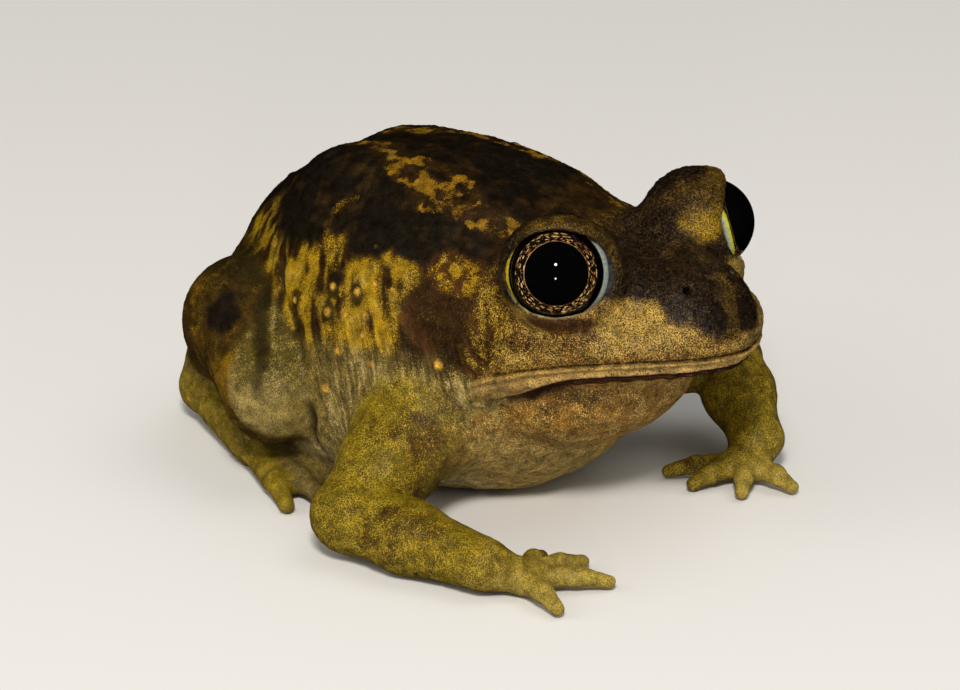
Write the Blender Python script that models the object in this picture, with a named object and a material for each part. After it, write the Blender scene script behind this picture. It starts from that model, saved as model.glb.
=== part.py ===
"""Eastern spadefoot, a stout burrowing toad, sitting with its head raised: a still, life-size model.

The flesh is one smooth body, written as distance fields (positive outside, negative inside) of
ellipsoids and tapered limbs that melt into each other. Each sub-part is that body cut back to its own
share, so neighbours meet face to face across a thin gap. Metres, +X is where the snout points,
+Y is the animal's left, +Z is up, and the floor is Z = 0.
"""

import functools
import math

import bpy
import numpy as np
import openvdb
from mathutils import Matrix

MM = 0.001

# Driving sizes
GAP = 0.3 * MM  # between two sub-parts that touch
EYE_RADIUS = 3.1 * MM
CORNEA_RADIUS, CORNEA_AHEAD = 2.85 * MM, 0.5 * MM
SOCKET_GAP = 0.2 * MM
EYE_X, EYE_Y, EYE_Z = 13.7 * MM, 7.3 * MM, 19.0 * MM
EYE_TURN, EYE_LIFT = 47.0, 20.0  # degrees from straight ahead, and above level
LID_THICKNESS = 0.5 * MM
LID_HEIGHT = 0.9 * MM  # how far the rim of the lids stands out at the corners of the eye
LID_ARCH = 1.3 * MM  # and how much more above and below
JAW_X, JAW_LENGTH, JAW_HALF_WIDTH = 9.5 * MM, 13.3 * MM, 9.5 * MM
JAW_POINT = 1.7  # 2 is an ellipse seen from above, less is more pointed
MOUTH_LOW, MOUTH_RISE = 11.6 * MM, 2.6 * MM  # at its corners, and how much higher at the tip
MOUTH_CORNER = 88.0  # degrees round from the tip of the snout
THROAT_FILL = 5.0 * MM  # how far the head closes over the mouth line behind its corners
HEAD_BACK, HEAD_TOP = 11.0 * MM, 19.1 * MM
BLOCK = 10  # grid cells along each side of a block that is measured at once


def mm(*numbers):
    """A point or size given in millimetres, in metres."""
    return np.array(numbers) * MM


def mirrored(point, side):
    """A point of the right side (side -1), or the same point on the left side (side 1)."""
    return point * np.array([1.0, -side, 1.0])


def turned(direction_degrees, lift_degrees):
    """The unit vector that points so many degrees left of straight ahead and above level."""
    turn, lift = math.radians(direction_degrees), math.radians(lift_degrees)
    return np.array([math.cos(turn) * math.cos(lift), math.sin(turn) * math.cos(lift), math.sin(lift)])


# Distance fields. A point cloud p is an array of rows x, y, z.


def ball(p, centre, radius):
    return np.linalg.norm(p - centre, axis=1) - radius


def ellipsoid(p, centre, radii, pitch=0.0, yaw=0.0):
    """An ellipsoid, its nose lifted by pitch and swung to the left by yaw, in degrees."""
    q = p - centre
    if yaw:
        c, s = math.cos(math.radians(yaw)), math.sin(math.radians(yaw))
        q = np.stack([q[:, 0] * c + q[:, 1] * s, q[:, 1] * c - q[:, 0] * s, q[:, 2]], axis=1)
    if pitch:
        c, s = math.cos(math.radians(pitch)), math.sin(math.radians(pitch))
        q = np.stack([q[:, 0] * c + q[:, 2] * s, q[:, 1], q[:, 2] * c - q[:, 0] * s], axis=1)
    near = np.linalg.norm(q / radii, axis=1)
    slope = np.linalg.norm(q / (radii * radii), axis=1)
    return near * (near - 1.0) / np.maximum(slope, 1e-9)


def limb(p, start, end, start_radius, end_radius, flatten=1.0):
    """A round bar that tapers from start to end. flatten over 1 makes it wider than it is high."""
    axis = end - start
    along = np.clip((p - start) @ axis / (axis @ axis), 0.0, 1.0)
    away = p - start - along[:, None] * axis
    away[:, 2] *= flatten
    return np.linalg.norm(away, axis=1) - (start_radius + along * (end_radius - start_radius))


def blend(a, b, width):
    """Union of two fields whose crease is filled over about width."""
    h = np.maximum(width - np.abs(a - b), 0.0) / width
    return np.minimum(a, b) - h * h * width / 4.0


def chain(p, points, radii, width, flatten=1.0):
    """Tapering bars end to end through the points, melted together."""
    field = None
    for i in range(len(points) - 1):
        bar = limb(p, points[i], points[i + 1], radii[i], radii[i + 1], flatten)
        field = bar if field is None else blend(field, bar, width)
    return field


def cut(field, cutter, width):
    """A field with the cutter taken away, its new edge rounded over about width."""
    return -blend(-field, cutter, width)


# Torso


def torso(p):
    belly = ellipsoid(p, mm(-2.6, 0.0, 9.3), mm(15.8, 12.4, 9.8))
    back = ellipsoid(p, mm(-3.2, 0.0, 13.6), mm(13.8, 9.4, 8.4), pitch=2.0)
    rump = ellipsoid(p, mm(-13.6, 0.0, 9.4), mm(6.0, 6.0, 6.8), pitch=20.0)
    chest = ellipsoid(p, mm(1.2, 0.0, 9.0), mm(9.6, 9.6, 9.2))
    shoulders = ellipsoid(p, mm(2.6, 0.0, 12.9), mm(10.0, 9.0, 6.2))
    field = blend(belly, back, 4.0 * MM)
    field = blend(field, rump, 4.0 * MM)
    field = blend(field, chest, 3.0 * MM)
    field = blend(field, shoulders, 4.0 * MM)
    for y in (-3.4, 3.4):
        spine_edge = limb(p, mm(-10.0, y, 18.6), mm(4.0, y, 18.9), 1.6 * MM, 1.6 * MM)
        field = blend(field, spine_edge, 3.0 * MM)
    for side in (-1, 1):
        flank = ellipsoid(p, mirrored(mm(-3.4, -7.6, 5.6), side), mm(7.6, 5.0, 4.6), yaw=side * 6.0)
        field = blend(field, flank, 3.0 * MM)
    return field


# Head. Seen from above its outline is a blunt point. The mouth line follows it and rises to the snout.


def mouth_height(x):
    """The height of the mouth line where it is x forward."""
    t = np.clip((x - JAW_X) / JAW_LENGTH, -0.6, 1.0)
    return MOUTH_LOW + MOUTH_RISE * t * (2.0 - t)


def lip(p, inset, drop, radius):
    """A rounded rim along the mouth line, inset from it and dropped below it."""
    points, radii = [], []
    for angle in np.linspace(-MOUTH_CORNER, MOUTH_CORNER, 25):
        a = math.radians(angle)
        c, s = math.cos(a), math.sin(a)
        x = JAW_X + (JAW_LENGTH - inset) * math.copysign(abs(c) ** (2.0 / JAW_POINT), c)
        y = (JAW_HALF_WIDTH - inset) * math.copysign(abs(s) ** (2.0 / JAW_POINT), s)
        points.append(np.array([x, y, mouth_height(x) - drop]))
        radii.append(radius * (0.6 if abs(angle) == MOUTH_CORNER else 1.0))
    return chain(p, points, radii, 0.3 * MM)


def dome(p, inset, height, under, squareness):
    """A dome over the outline of the jaw, up from the mouth line, or down from it if height is negative.

    On the other side of the mouth line it goes on for the short distance under, and behind the corners of
    the mouth for more.
    """
    ahead = p[:, 0] - JAW_X
    length = np.where(ahead > 0.0, JAW_LENGTH, HEAD_BACK) - inset
    x, y = np.abs(ahead) / length, np.abs(p[:, 1]) / (JAW_HALF_WIDTH - inset)
    plan = np.maximum((x ** JAW_POINT + y ** JAW_POINT) ** (1.0 / JAW_POINT), 1e-6)
    above = p[:, 2] - mouth_height(p[:, 0])
    behind = np.clip(-ahead / (JAW_LENGTH - HEAD_BACK + THROAT_FILL), 0.0, 1.0)
    reach = np.where(above * height > 0.0, np.abs(height), under + THROAT_FILL * behind)
    z = np.abs(above) / reach
    near = np.maximum((plan ** squareness + z ** squareness) ** (1.0 / squareness), 1e-6)
    plan_part = (plan / near) ** (squareness - 1.0)
    slope_x = plan_part * (x / plan) ** (JAW_POINT - 1.0) / length
    slope_y = plan_part * (y / plan) ** (JAW_POINT - 1.0) / (JAW_HALF_WIDTH - inset)
    slope_z = (z / near) ** (squareness - 1.0) / reach
    return (near - 1.0) / np.maximum(np.sqrt(slope_x ** 2 + slope_y ** 2 + slope_z ** 2), 20.0)


def upper_head(p):
    height = HEAD_TOP - mouth_height(p[:, 0])
    field = dome(p, 0.4 * MM, height, 0.5 * MM, 2.5)
    snout = ellipsoid(p, mm(17.8, 0.0, 15.6), mm(4.9, 4.3, 2.8), pitch=2.0)
    field = blend(field, snout, 1.5 * MM)
    field = blend(field, lip(p, 0.65 * MM, -0.8 * MM, 0.75 * MM), 1.4 * MM)
    for side in (-1, 1):
        cheek = ellipsoid(p, mirrored(mm(9.0, -5.9, 14.0), side), mm(5.0, 2.9, 3.2), pitch=8.0)
        under_eye = ellipsoid(p, mirrored(mm(11.8, -5.8, 15.8), side), mm(4.3, 2.6, 2.5), yaw=side * 4.0)
        nostril_rim = ball(p, mirrored(mm(19.5, -1.7, 17.3), side), 0.85 * MM)
        brow_back, brow_front = mirrored(mm(12.0, -4.0, 18.2), side), mirrored(mm(18.6, -1.7, 17.0), side)
        brow = limb(p, brow_back, brow_front, 1.4 * MM, 1.1 * MM)
        field = blend(field, cheek, 2.0 * MM)
        field = blend(field, under_eye, 1.8 * MM)
        field = blend(field, brow, 2.0 * MM)
        field = blend(field, nostril_rim, 1.6 * MM)
    return field


def eye_centre(side):
    return np.array([EYE_X, side * EYE_Y, EYE_Z])


def eye_axes(side):
    """Where the eye looks, the direction along its lids, and the direction across them."""
    look = turned(side * EYE_TURN, EYE_LIFT)
    along = np.cross(np.array([0.0, 0.0, 1.0]), look)
    along /= np.linalg.norm(along)
    return look, along, np.cross(look, along)


def eyeball(p, side):
    look = eye_axes(side)[0]
    cornea = ball(p, eye_centre(side) + look * CORNEA_AHEAD, CORNEA_RADIUS)
    return blend(ball(p, eye_centre(side), EYE_RADIUS), cornea, 0.3 * MM)


def lids(p, side):
    """The skin that wraps the eyeball up to the rim of the lids, with the eyeball not yet taken out."""
    look, along, across = eye_axes(side)
    q = p - eye_centre(side)
    upright = np.clip(q @ across / EYE_RADIUS, -1.0, 1.0)
    above_rim = q @ look - LID_HEIGHT - LID_ARCH * upright ** 2
    return cut(ball(p, eye_centre(side), EYE_RADIUS + SOCKET_GAP + LID_THICKNESS), -above_rim, 0.5 * MM)


def nostril(p, side):
    start = mirrored(mm(21.0, -2.7, 18.5), side)
    end = mirrored(mm(19.6, -1.8, 17.4), side)
    return limb(p, start, end, 0.45 * MM, 0.3 * MM)


def jaw_and_throat(p):
    field = dome(p, 1.4 * MM, -3.2 * MM, 0.3 * MM, 2.4)
    field = blend(field, lip(p, 0.8 * MM, 0.72 * MM, 0.68 * MM), 0.4 * MM)
    throat = ellipsoid(p, mm(8.8, 0.0, 8.8), mm(8.0, 8.0, 4.6), pitch=14.0)
    return blend(field, throat, 1.6 * MM)


# Legs. Joints and tips are given for the right side, and each leg has its own pose.

UPPER_ARM_RADII = mm(4.0, 3.1, 2.35)
FOREARM_RADII = mm(2.35, 2.35, 1.75)
THIGH_RADII = mm(4.6, 4.3, 3.4)
SHANK_RADII = mm(3.4, 4.0, 2.1)

ARMS = {
    "right": {
        "shoulder": mm(3.8, -8.6, 7.6),
        "elbow": mm(4.7, -17.7, 2.9),
        "wrist": mm(15.0, -16.0, 2.0),
        "palm": mm(16.8, -14.4, 1.2),
        "tips": [mm(14.9, -10.2, 0.6), mm(17.4, -9.0, 0.6), mm(20.8, -10.2, 0.6), mm(21.2, -15.6, 0.6)],
    },
    "left": {
        "shoulder": mm(3.8, -8.6, 7.6),
        "elbow": mm(9.0, -15.0, 5.8),
        "wrist": mm(15.0, -11.4, 2.4),
        "palm": mm(15.6, -9.7, 1.3),
        "tips": [mm(11.6, -6.2, 0.6), mm(14.3, -5.6, 0.6), mm(17.6, -6.8, 0.6), mm(19.5, -9.8, 0.6)],
    },
}
LEGS = {
    "right": {
        "hip": mm(-14.0, -5.0, 9.6),
        "knee": mm(-7.2, -12.6, 6.9),
        "calf": mm(-13.4, -9.0, 9.3),
        "ankle": mm(-19.2, -6.4, 4.2),
        "heel": mm(-19.2, -7.4, 2.4),
        "sole": mm(-11.0, -10.8, 1.3),
        "tips": [
            mm(-8.2, -7.2, 0.6), mm(-5.0, -8.2, 0.6), mm(-2.4, -10.6, 0.6), mm(-1.4, -13.6, 0.6),
            mm(-3.2, -15.6, 0.6),
        ],
    },
    "left": {
        "hip": mm(-14.0, -5.0, 9.6),
        "knee": mm(-6.8, -13.2, 6.7),
        "calf": mm(-13.2, -9.6, 9.0),
        "ankle": mm(-19.0, -7.2, 3.8),
        "heel": mm(-19.0, -7.8, 1.9),
        "sole": mm(-10.6, -11.6, 1.3),
        "tips": [
            mm(-7.8, -8.0, 0.6), mm(-4.6, -9.0, 0.6), mm(-1.8, -11.6, 0.6), mm(-0.6, -14.6, 0.6),
            mm(-2.6, -16.6, 0.6),
        ],
    },
}
SIDES = {"right": -1, "left": 1}


def placed(pose, name, side):
    return mirrored(pose[name], side)


def upper_arm(p, pose, side):
    shoulder, elbow = placed(pose, "shoulder", side), placed(pose, "elbow", side)
    middle = shoulder * 0.45 + elbow * 0.55
    return chain(p, [shoulder, middle, elbow], UPPER_ARM_RADII, 1.0 * MM)


def forearm(p, pose, side):
    elbow, wrist = placed(pose, "elbow", side), placed(pose, "wrist", side)
    middle = elbow * 0.55 + wrist * 0.45
    return chain(p, [elbow, middle, wrist], FOREARM_RADII, 1.0 * MM)


def digits(p, base, tips, root_radius, tip_radius, spread):
    """Fingers or toes that leave the hand side by side, each thinnest near its tip."""
    field = None
    for tip in tips:
        root = base + (tip - base) * spread
        knuckle = root * 0.45 + tip * 0.55
        knuckle[2] += 0.25 * MM
        digit = chain(p, [root, knuckle, tip], [root_radius, root_radius * 0.8, tip_radius], 0.3 * MM)
        field = digit if field is None else blend(field, digit, 0.5 * MM)
    return field


def hand(p, pose, side):
    wrist, palm = placed(pose, "wrist", side), placed(pose, "palm", side)
    tips = [mirrored(tip, side) for tip in pose["tips"]]
    field = limb(p, wrist, palm, 1.7 * MM, 1.4 * MM, 1.25)
    return blend(field, digits(p, palm, tips, 0.8 * MM, 0.45 * MM, 0.2), 0.7 * MM)


def thigh(p, pose, side):
    hip, knee = placed(pose, "hip", side), placed(pose, "knee", side)
    return chain(p, [hip, (hip + knee) / 2, knee], THIGH_RADII, 1.5 * MM)


def shank(p, pose, side):
    points = [placed(pose, name, side) for name in ("knee", "calf", "ankle")]
    return chain(p, points, SHANK_RADII, 2.0 * MM)


def web(p, sole, tips):
    """Thin skin between the toes: a flat fan that stops short of the tips."""
    field = None
    for i in range(len(tips) - 1):
        edge = (tips[i] + tips[i + 1]) / 2 * 0.62 + sole * 0.38
        bar = limb(p, sole, edge, 1.3 * MM, 1.6 * MM, 2.4)
        field = bar if field is None else blend(field, bar, 0.8 * MM)
    return field


def foot(p, pose, side):
    names = ("ankle", "heel", "sole")
    points = [placed(pose, name, side) for name in names]
    tips = [mirrored(tip, side) for tip in pose["tips"]]
    field = chain(p, points, mm(1.9, 1.8, 1.6), 0.8 * MM)
    field = blend(field, digits(p, points[2], tips, 0.9 * MM, 0.55 * MM, 0.2), 0.8 * MM)
    return blend(field, web(p, points[2], tips), 0.6 * MM)


def spade(p, pose, side):
    """The black digging blade on the inner edge of the sole."""
    heel, sole = placed(pose, "heel", side), placed(pose, "sole", side)
    inner = np.array([0.0, -side * 1.0, 0.0])
    start = heel * 0.45 + sole * 0.55 + inner * 1.75 * MM
    end = heel * 0.15 + sole * 0.85 + inner * 2.35 * MM
    start[2] = end[2] = 0.75 * MM
    return limb(p, start, end, 0.75 * MM, 0.45 * MM, 1.4)


def spade_on_floor(pose, side, p):
    return np.maximum(spade(p, pose, side), -p[:, 2])


# The whole animal: every sub-part's own field, then all of them melted together


def own_fields(p):
    fields = {"torso": torso(p), "head": upper_head(p), "lower_jaw": jaw_and_throat(p)}
    for name, side in SIDES.items():
        arm, leg = ARMS[name], LEGS[name]
        fields["upper_arm_" + name] = upper_arm(p, arm, side)
        fields["forearm_" + name] = forearm(p, arm, side)
        fields["hand_" + name] = hand(p, arm, side)
        fields["thigh_" + name] = thigh(p, leg, side)
        fields["shank_" + name] = shank(p, leg, side)
        fields["foot_" + name] = foot(p, leg, side)
    return fields


def whole_body(p, fields):
    head = fields["head"]
    for side in SIDES.values():
        head = blend(head, lids(p, side), 1.2 * MM)
    body = blend(fields["torso"], head, 3.0 * MM)
    body = blend(body, fields["lower_jaw"], 0.25 * MM)
    for name in SIDES:
        arm = blend(fields["upper_arm_" + name], fields["forearm_" + name], 0.8 * MM)
        arm = blend(arm, fields["hand_" + name], 0.8 * MM)
        leg = blend(fields["thigh_" + name], fields["shank_" + name], 0.6 * MM)
        leg = blend(leg, fields["foot_" + name], 0.6 * MM)
        body = blend(body, arm, 2.2 * MM)
        body = blend(body, leg, 1.4 * MM)
    for side in SIDES.values():
        body = cut(body, ball(p, eye_centre(side), EYE_RADIUS + SOCKET_GAP), 0.2 * MM)
        body = cut(body, nostril(p, side), 0.4 * MM)
    return np.maximum(body, -p[:, 2])


def joint_plane(p, before, joint, after):
    """Signed distance from the plane that halves the bend at a joint, positive towards after."""
    way_in = (joint - before) / np.linalg.norm(joint - before)
    way_out = (after - joint) / np.linalg.norm(after - joint)
    normal = way_in + way_out
    return (p - joint) @ (normal / np.linalg.norm(normal))


def boundaries(p, fields):
    """Signed distances from the surfaces that divide pairs of sub-parts, negative on the first one."""
    mouth = p[:, 2] - mouth_height(p[:, 0])
    neck = (p - mm(5.6, 0.0, 12.0)) @ turned(0.0, 12.0)
    planes = {("lower_jaw", "head"): mouth, ("torso", "head"): neck, ("torso", "lower_jaw"): neck}
    for name, side in SIDES.items():
        arm, leg = ARMS[name], LEGS[name]
        shoulder, elbow = placed(arm, "shoulder", side), placed(arm, "elbow", side)
        wrist, palm = placed(arm, "wrist", side), placed(arm, "palm", side)
        planes["upper_arm_" + name, "forearm_" + name] = joint_plane(p, shoulder, elbow, wrist)
        planes["forearm_" + name, "hand_" + name] = joint_plane(p, elbow, wrist, palm)
        knee, calf, ankle = (placed(leg, n, side) for n in ("knee", "calf", "ankle"))
        hip = placed(leg, "hip", side)
        to_hip = (hip - knee) / np.linalg.norm(hip - knee)
        to_calf = (calf - knee) / np.linalg.norm(calf - knee)
        across = to_calf - to_hip
        planes["thigh_" + name, "shank_" + name] = (p - knee) @ (across / np.linalg.norm(across))
        at_ankle = joint_plane(p, calf, ankle, placed(leg, "heel", side))
        nearer_foot = (fields["shank_" + name] - fields["foot_" + name]) / 2.0
        planes["shank_" + name, "foot_" + name] = np.maximum(at_ankle, nearer_foot)
    return planes


def share_of(node, p):
    """The field of one sub-part of flesh: the whole body, cut back to where this sub-part is nearest."""
    fields = own_fields(p)
    field = whole_body(p, fields)
    planes = boundaries(p, fields)
    for other in fields:
        if other == node:
            continue
        if (node, other) in planes:
            edge = planes[node, other]
        elif (other, node) in planes:
            edge = -planes[other, node]
        else:
            edge = (fields[node] - fields[other]) / 2.0
        field = np.maximum(field, edge + GAP / 2.0)
    if node.startswith("foot"):
        name = node[len("foot_"):]
        field = np.maximum(field, GAP - spade(p, LEGS[name], SIDES[name]))
    return field


# Meshes


def meshed(field_of, low, high, step):
    """Points and faces of the zero surface of field_of, measured only in blocks it may pass through."""
    size = np.ceil((high - low) / step / BLOCK).astype(int) * BLOCK + 1
    reach = BLOCK * step * 1.5
    blocks = [np.arange(n // BLOCK) for n in size]
    starts = np.stack(np.meshgrid(*blocks, indexing="ij"), axis=-1).reshape(-1, 3) * BLOCK
    centres = low + (starts + BLOCK / 2.0) * step
    at_centre = field_of(centres)
    values = np.full(size, 1.0, np.float32)
    offsets = np.stack(np.meshgrid(*[np.arange(BLOCK + 1)] * 3, indexing="ij"), axis=-1).reshape(-1, 3)
    for start, value in zip(starts, at_centre):
        x, y, z = start
        values[x:x + BLOCK + 1, y:y + BLOCK + 1, z:z + BLOCK + 1] = np.sign(value)
    near = starts[np.abs(at_centre) < reach]
    for part in np.array_split(near, max(1, len(near) // 150)):
        cells = (part[:, None, :] + offsets[None, :, :]).reshape(-1, 3)
        values[cells[:, 0], cells[:, 1], cells[:, 2]] = field_of(low + cells * step)
    grid = openvdb.FloatGrid(1.0)
    grid.copyFromArray(values)
    points, quads = grid.convertToQuads(0.0)
    return low + points * step, quads


def solid(name, field_of, low, high, step, triangles, colour, roughness):
    """One named object from a field, thinned to about so many triangles."""
    points, quads = meshed(field_of, np.asarray(low), np.asarray(high), step)
    mesh = bpy.data.meshes.new(name)
    mesh.from_pydata(points.tolist(), [], quads.tolist())
    mesh.shade_smooth()
    mesh.set_sharp_from_angle(angle=math.radians(50.0))
    material = bpy.data.materials.new(name)
    material.use_nodes = True
    shader = material.node_tree.nodes["Principled BSDF"]
    shader.inputs["Base Color"].default_value = (*colour, 1.0)
    shader.inputs["Roughness"].default_value = roughness
    mesh.materials.append(material)
    obj = bpy.data.objects.new(name, mesh)
    bpy.context.scene.collection.objects.link(obj)
    thin = obj.modifiers.new("Thin", "DECIMATE")
    thin.ratio = min(1.0, triangles / (2.0 * len(quads)))
    return obj


def centre_on_floor(objects):
    """Moves the whole animal so that the origin is under the middle of its length and width."""
    corners = np.array([corner for obj in objects for corner in obj.bound_box])
    middle = (corners.min(axis=0) + corners.max(axis=0)) / 2.0
    for obj in objects:
        obj.data.transform(Matrix.Translation((-middle[0], -middle[1], 0.0)))


# Sub-parts: name, low and high corner in millimetres, grid step, triangles, colour, roughness
OLIVE, BROWN, TAN, PALE = (0.20, 0.16, 0.03), (0.09, 0.06, 0.02), (0.42, 0.27, 0.10), (0.30, 0.27, 0.12)
FLESH = (
    ("torso", (-24.0, -15.0, -1.0), (12.0, 15.0, 25.0), 0.55, 2200, BROWN, 0.45),
    ("head", (3.0, -14.0, 8.0), (25.0, 14.0, 25.0), 0.3, 3900, OLIVE, 0.4),
    ("lower_jaw", (3.0, -12.0, 2.0), (25.0, 12.0, 16.0), 0.4, 1000, TAN, 0.4),
    ("upper_arm", (-2.0, 5.0, -1.0), (14.0, 21.0, 13.0), 0.4, 300, PALE, 0.45),
    ("forearm", (1.0, 8.0, -1.0), (18.0, 21.0, 9.0), 0.4, 380, OLIVE, 0.45),
    ("hand", (8.0, 4.0, -1.0), (25.0, 19.0, 5.0), 0.3, 900, OLIVE, 0.45),
    ("thigh", (-20.0, 2.0, 0.0), (-1.0, 19.0, 16.0), 0.4, 380, PALE, 0.45),
    ("shank", (-23.0, 3.0, 0.0), (-1.0, 19.0, 16.0), 0.4, 480, OLIVE, 0.45),
    ("foot", (-23.0, 2.0, -1.0), (3.0, 19.0, 7.0), 0.3, 1200, PALE, 0.45),
)
BLACK = (0.015, 0.013, 0.012)


def on_side(low, high, side):
    """The box of the left side, or its mirror image on the right side."""
    if side > 0:
        return mm(*low), mm(*high)
    return mm(low[0], -high[1], low[2]), mm(high[0], -low[1], high[2])


def main():
    for obj in list(bpy.data.objects):
        bpy.data.objects.remove(obj, do_unlink=True)
    objects = []
    for name, low, high, step, triangles, colour, roughness in FLESH:
        if low[1] < 0.0:
            nodes = {name: (mm(*low), mm(*high))}
        else:
            nodes = {name + "_" + word: on_side(low, high, side) for word, side in SIDES.items()}
        for node, corners in nodes.items():
            field = functools.partial(share_of, node)
            objects.append(solid(node, field, *corners, step * MM, triangles, colour, roughness))
    for word, side in SIDES.items():
        centre, reach = eye_centre(side), mm(4.0, 4.0, 4.0)
        field = functools.partial(eyeball, side=side)
        low, high = centre - reach, centre + reach
        objects.append(solid("eye_" + word, field, low, high, 0.3 * MM, 420, BLACK, 0.08))
        corners = on_side((-20.0, 2.0, -1.0), (-4.0, 12.0, 3.0), side)
        field = functools.partial(spade_on_floor, LEGS[word], side)
        objects.append(solid("spade_" + word, field, *corners, 0.2 * MM, 100, BLACK, 0.3))
    bpy.context.view_layer.update()
    centre_on_floor(objects)


main()
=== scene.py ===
"""Eastern spadefoot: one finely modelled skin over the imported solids, with its folds, warts and markings,
clear eyes and the digging spades, on a plain pale floor.

The skin is the zero surface of the same distance fields as the solids (positive outside), measured on a
finer grid. Metres, +X is where the snout points, +Y the animal's left, +Z up.
"""

import itertools
import math

import bmesh
import bpy
import numpy as np
import openvdb
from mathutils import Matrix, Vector


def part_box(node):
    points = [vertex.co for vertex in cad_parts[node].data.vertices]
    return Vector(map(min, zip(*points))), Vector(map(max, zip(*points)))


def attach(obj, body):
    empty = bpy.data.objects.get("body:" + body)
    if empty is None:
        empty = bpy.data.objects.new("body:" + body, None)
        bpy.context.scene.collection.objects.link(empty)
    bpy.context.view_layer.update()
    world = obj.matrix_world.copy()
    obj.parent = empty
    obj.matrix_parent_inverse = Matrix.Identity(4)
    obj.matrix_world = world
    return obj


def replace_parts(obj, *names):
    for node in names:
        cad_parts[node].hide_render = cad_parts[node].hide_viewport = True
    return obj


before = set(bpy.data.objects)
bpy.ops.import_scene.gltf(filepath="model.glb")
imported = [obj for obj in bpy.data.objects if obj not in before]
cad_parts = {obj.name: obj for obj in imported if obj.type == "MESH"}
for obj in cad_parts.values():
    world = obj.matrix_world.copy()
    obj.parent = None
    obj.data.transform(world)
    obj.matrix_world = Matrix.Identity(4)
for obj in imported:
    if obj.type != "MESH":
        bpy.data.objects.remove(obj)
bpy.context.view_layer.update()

MM = 0.001

# Sizes shared with the solids
EYE_RADIUS = 3.1 * MM
SOCKET_GAP = 0.2 * MM
EYE_X, EYE_Y, EYE_Z = 13.7 * MM, 7.3 * MM, 19.0 * MM
EYE_SHIFT = {-1: (-0.21, -0.11, 0.17), 1: (0.02, -0.13, -0.26)}  # millimetres. The head isn't quite even
EYE_TURN, EYE_LIFT = 47.0, {-1: 20.0, 1: 14.0}  # degrees from straight ahead, and above level
LID_THICKNESS = 0.5 * MM
LID_HEIGHT = 0.9 * MM  # how far the rim of the lids stands out at the corners of the eye
LID_ARCH = 1.3 * MM  # and how much more above and below
JAW_X, JAW_LENGTH, JAW_HALF_WIDTH = 9.5 * MM, 13.3 * MM, 9.5 * MM
JAW_POINT = 1.7  # 2 is an ellipse seen from above, less is more pointed
MOUTH_LOW, MOUTH_RISE = 11.6 * MM, 2.6 * MM  # at its corners, and how much higher at the tip
MOUTH_CORNER = 88.0  # degrees round from the tip of the snout
THROAT_FILL = 5.0 * MM  # how far the head closes over the mouth line behind its corners
HEAD_BACK, HEAD_TOP = 11.0 * MM, 19.1 * MM
BLOCK = 10  # grid cells along each side of a block that is measured at once

# Sizes of the skin's own detail
SKIN_STEP = 0.34 * MM  # grid before the mesh is divided and drawn onto the surface
EYE_CLEARANCE = 0.04 * MM  # between the eyeball and the skin of its socket
OPENING_FRONT, OPENING_REAR, OPENING_HALF_HEIGHT = 3.72 * MM, 3.26 * MM, 2.80 * MM  # of the lids
OPENING_FLOOR = 0.35 * MM  # ahead of the eye's middle
CORNEA = (3.06, 3.24)  # millimetres, half its width and how far it stands out from the eye's middle
CORNEA_IOR = 1.336
PUPIL = 2.06  # half the pupil's width
IRIS, IRIS_AHEAD = (1.80, 2.53), (1.40, 1.27)  # its inner and outer edge. The cornea makes it look wider
SEGMENTS = 144  # round an eye
HOLLOW_CHEEK = (14.9, -11.1, 15.9), (3.0, 2.2, 1.5)  # what is taken from the cheek under the eye
EYE_HUMP, EYE_HUMP_RADIUS = (12.8, -6.6, 19.1), 2.9  # the bulge inside and behind each eye
HEAD_DETAIL_FROM = (7.0 * MM, 9.0 * MM)  # x and z past which the mesh is twice as fine


def ramp(x, start, end):
    """0 below start, 1 past end, smooth between. start may be the greater."""
    t = np.clip((x - start) / (end - start), 0.0, 1.0)
    return t * t * (3.0 - 2.0 * t)


def mm(*numbers):
    """A point or size given in millimetres, in metres."""
    return np.array(numbers) * MM


def mirrored(point, side):
    """A point of the right side (side -1), or the same point on the left side (side 1)."""
    return point * np.array([1.0, -side, 1.0])


def turned(direction_degrees, lift_degrees):
    """The unit vector that points so many degrees left of straight ahead and above level."""
    turn, lift = math.radians(direction_degrees), math.radians(lift_degrees)
    return np.array([math.cos(turn) * math.cos(lift), math.sin(turn) * math.cos(lift), math.sin(lift)])


# Distance fields. A point cloud p is an array of rows x, y, z.


def ball(p, centre, radius):
    return np.linalg.norm(p - centre, axis=1) - radius


def ellipsoid(p, centre, radii, pitch=0.0, yaw=0.0):
    """An ellipsoid, its nose lifted by pitch and swung to the left by yaw, in degrees."""
    q = p - centre
    if yaw:
        c, s = math.cos(math.radians(yaw)), math.sin(math.radians(yaw))
        q = np.stack([q[:, 0] * c + q[:, 1] * s, q[:, 1] * c - q[:, 0] * s, q[:, 2]], axis=1)
    if pitch:
        c, s = math.cos(math.radians(pitch)), math.sin(math.radians(pitch))
        q = np.stack([q[:, 0] * c + q[:, 2] * s, q[:, 1], q[:, 2] * c - q[:, 0] * s], axis=1)
    near = np.linalg.norm(q / radii, axis=1)
    slope = np.linalg.norm(q / (radii * radii), axis=1)
    return near * (near - 1.0) / np.maximum(slope, 1e-9)


def limb(p, start, end, start_radius, end_radius, flatten=1.0):
    """A round bar that tapers from start to end. flatten over 1 makes it wider than it is high."""
    axis = end - start
    along = np.clip((p - start) @ axis / (axis @ axis), 0.0, 1.0)
    away = p - start - along[:, None] * axis
    away[:, 2] *= flatten
    return np.linalg.norm(away, axis=1) - (start_radius + along * (end_radius - start_radius))


def blend(a, b, width):
    """Union of two fields whose crease is filled over about width."""
    h = np.maximum(width - np.abs(a - b), 0.0) / width
    return np.minimum(a, b) - h * h * width / 4.0


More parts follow.
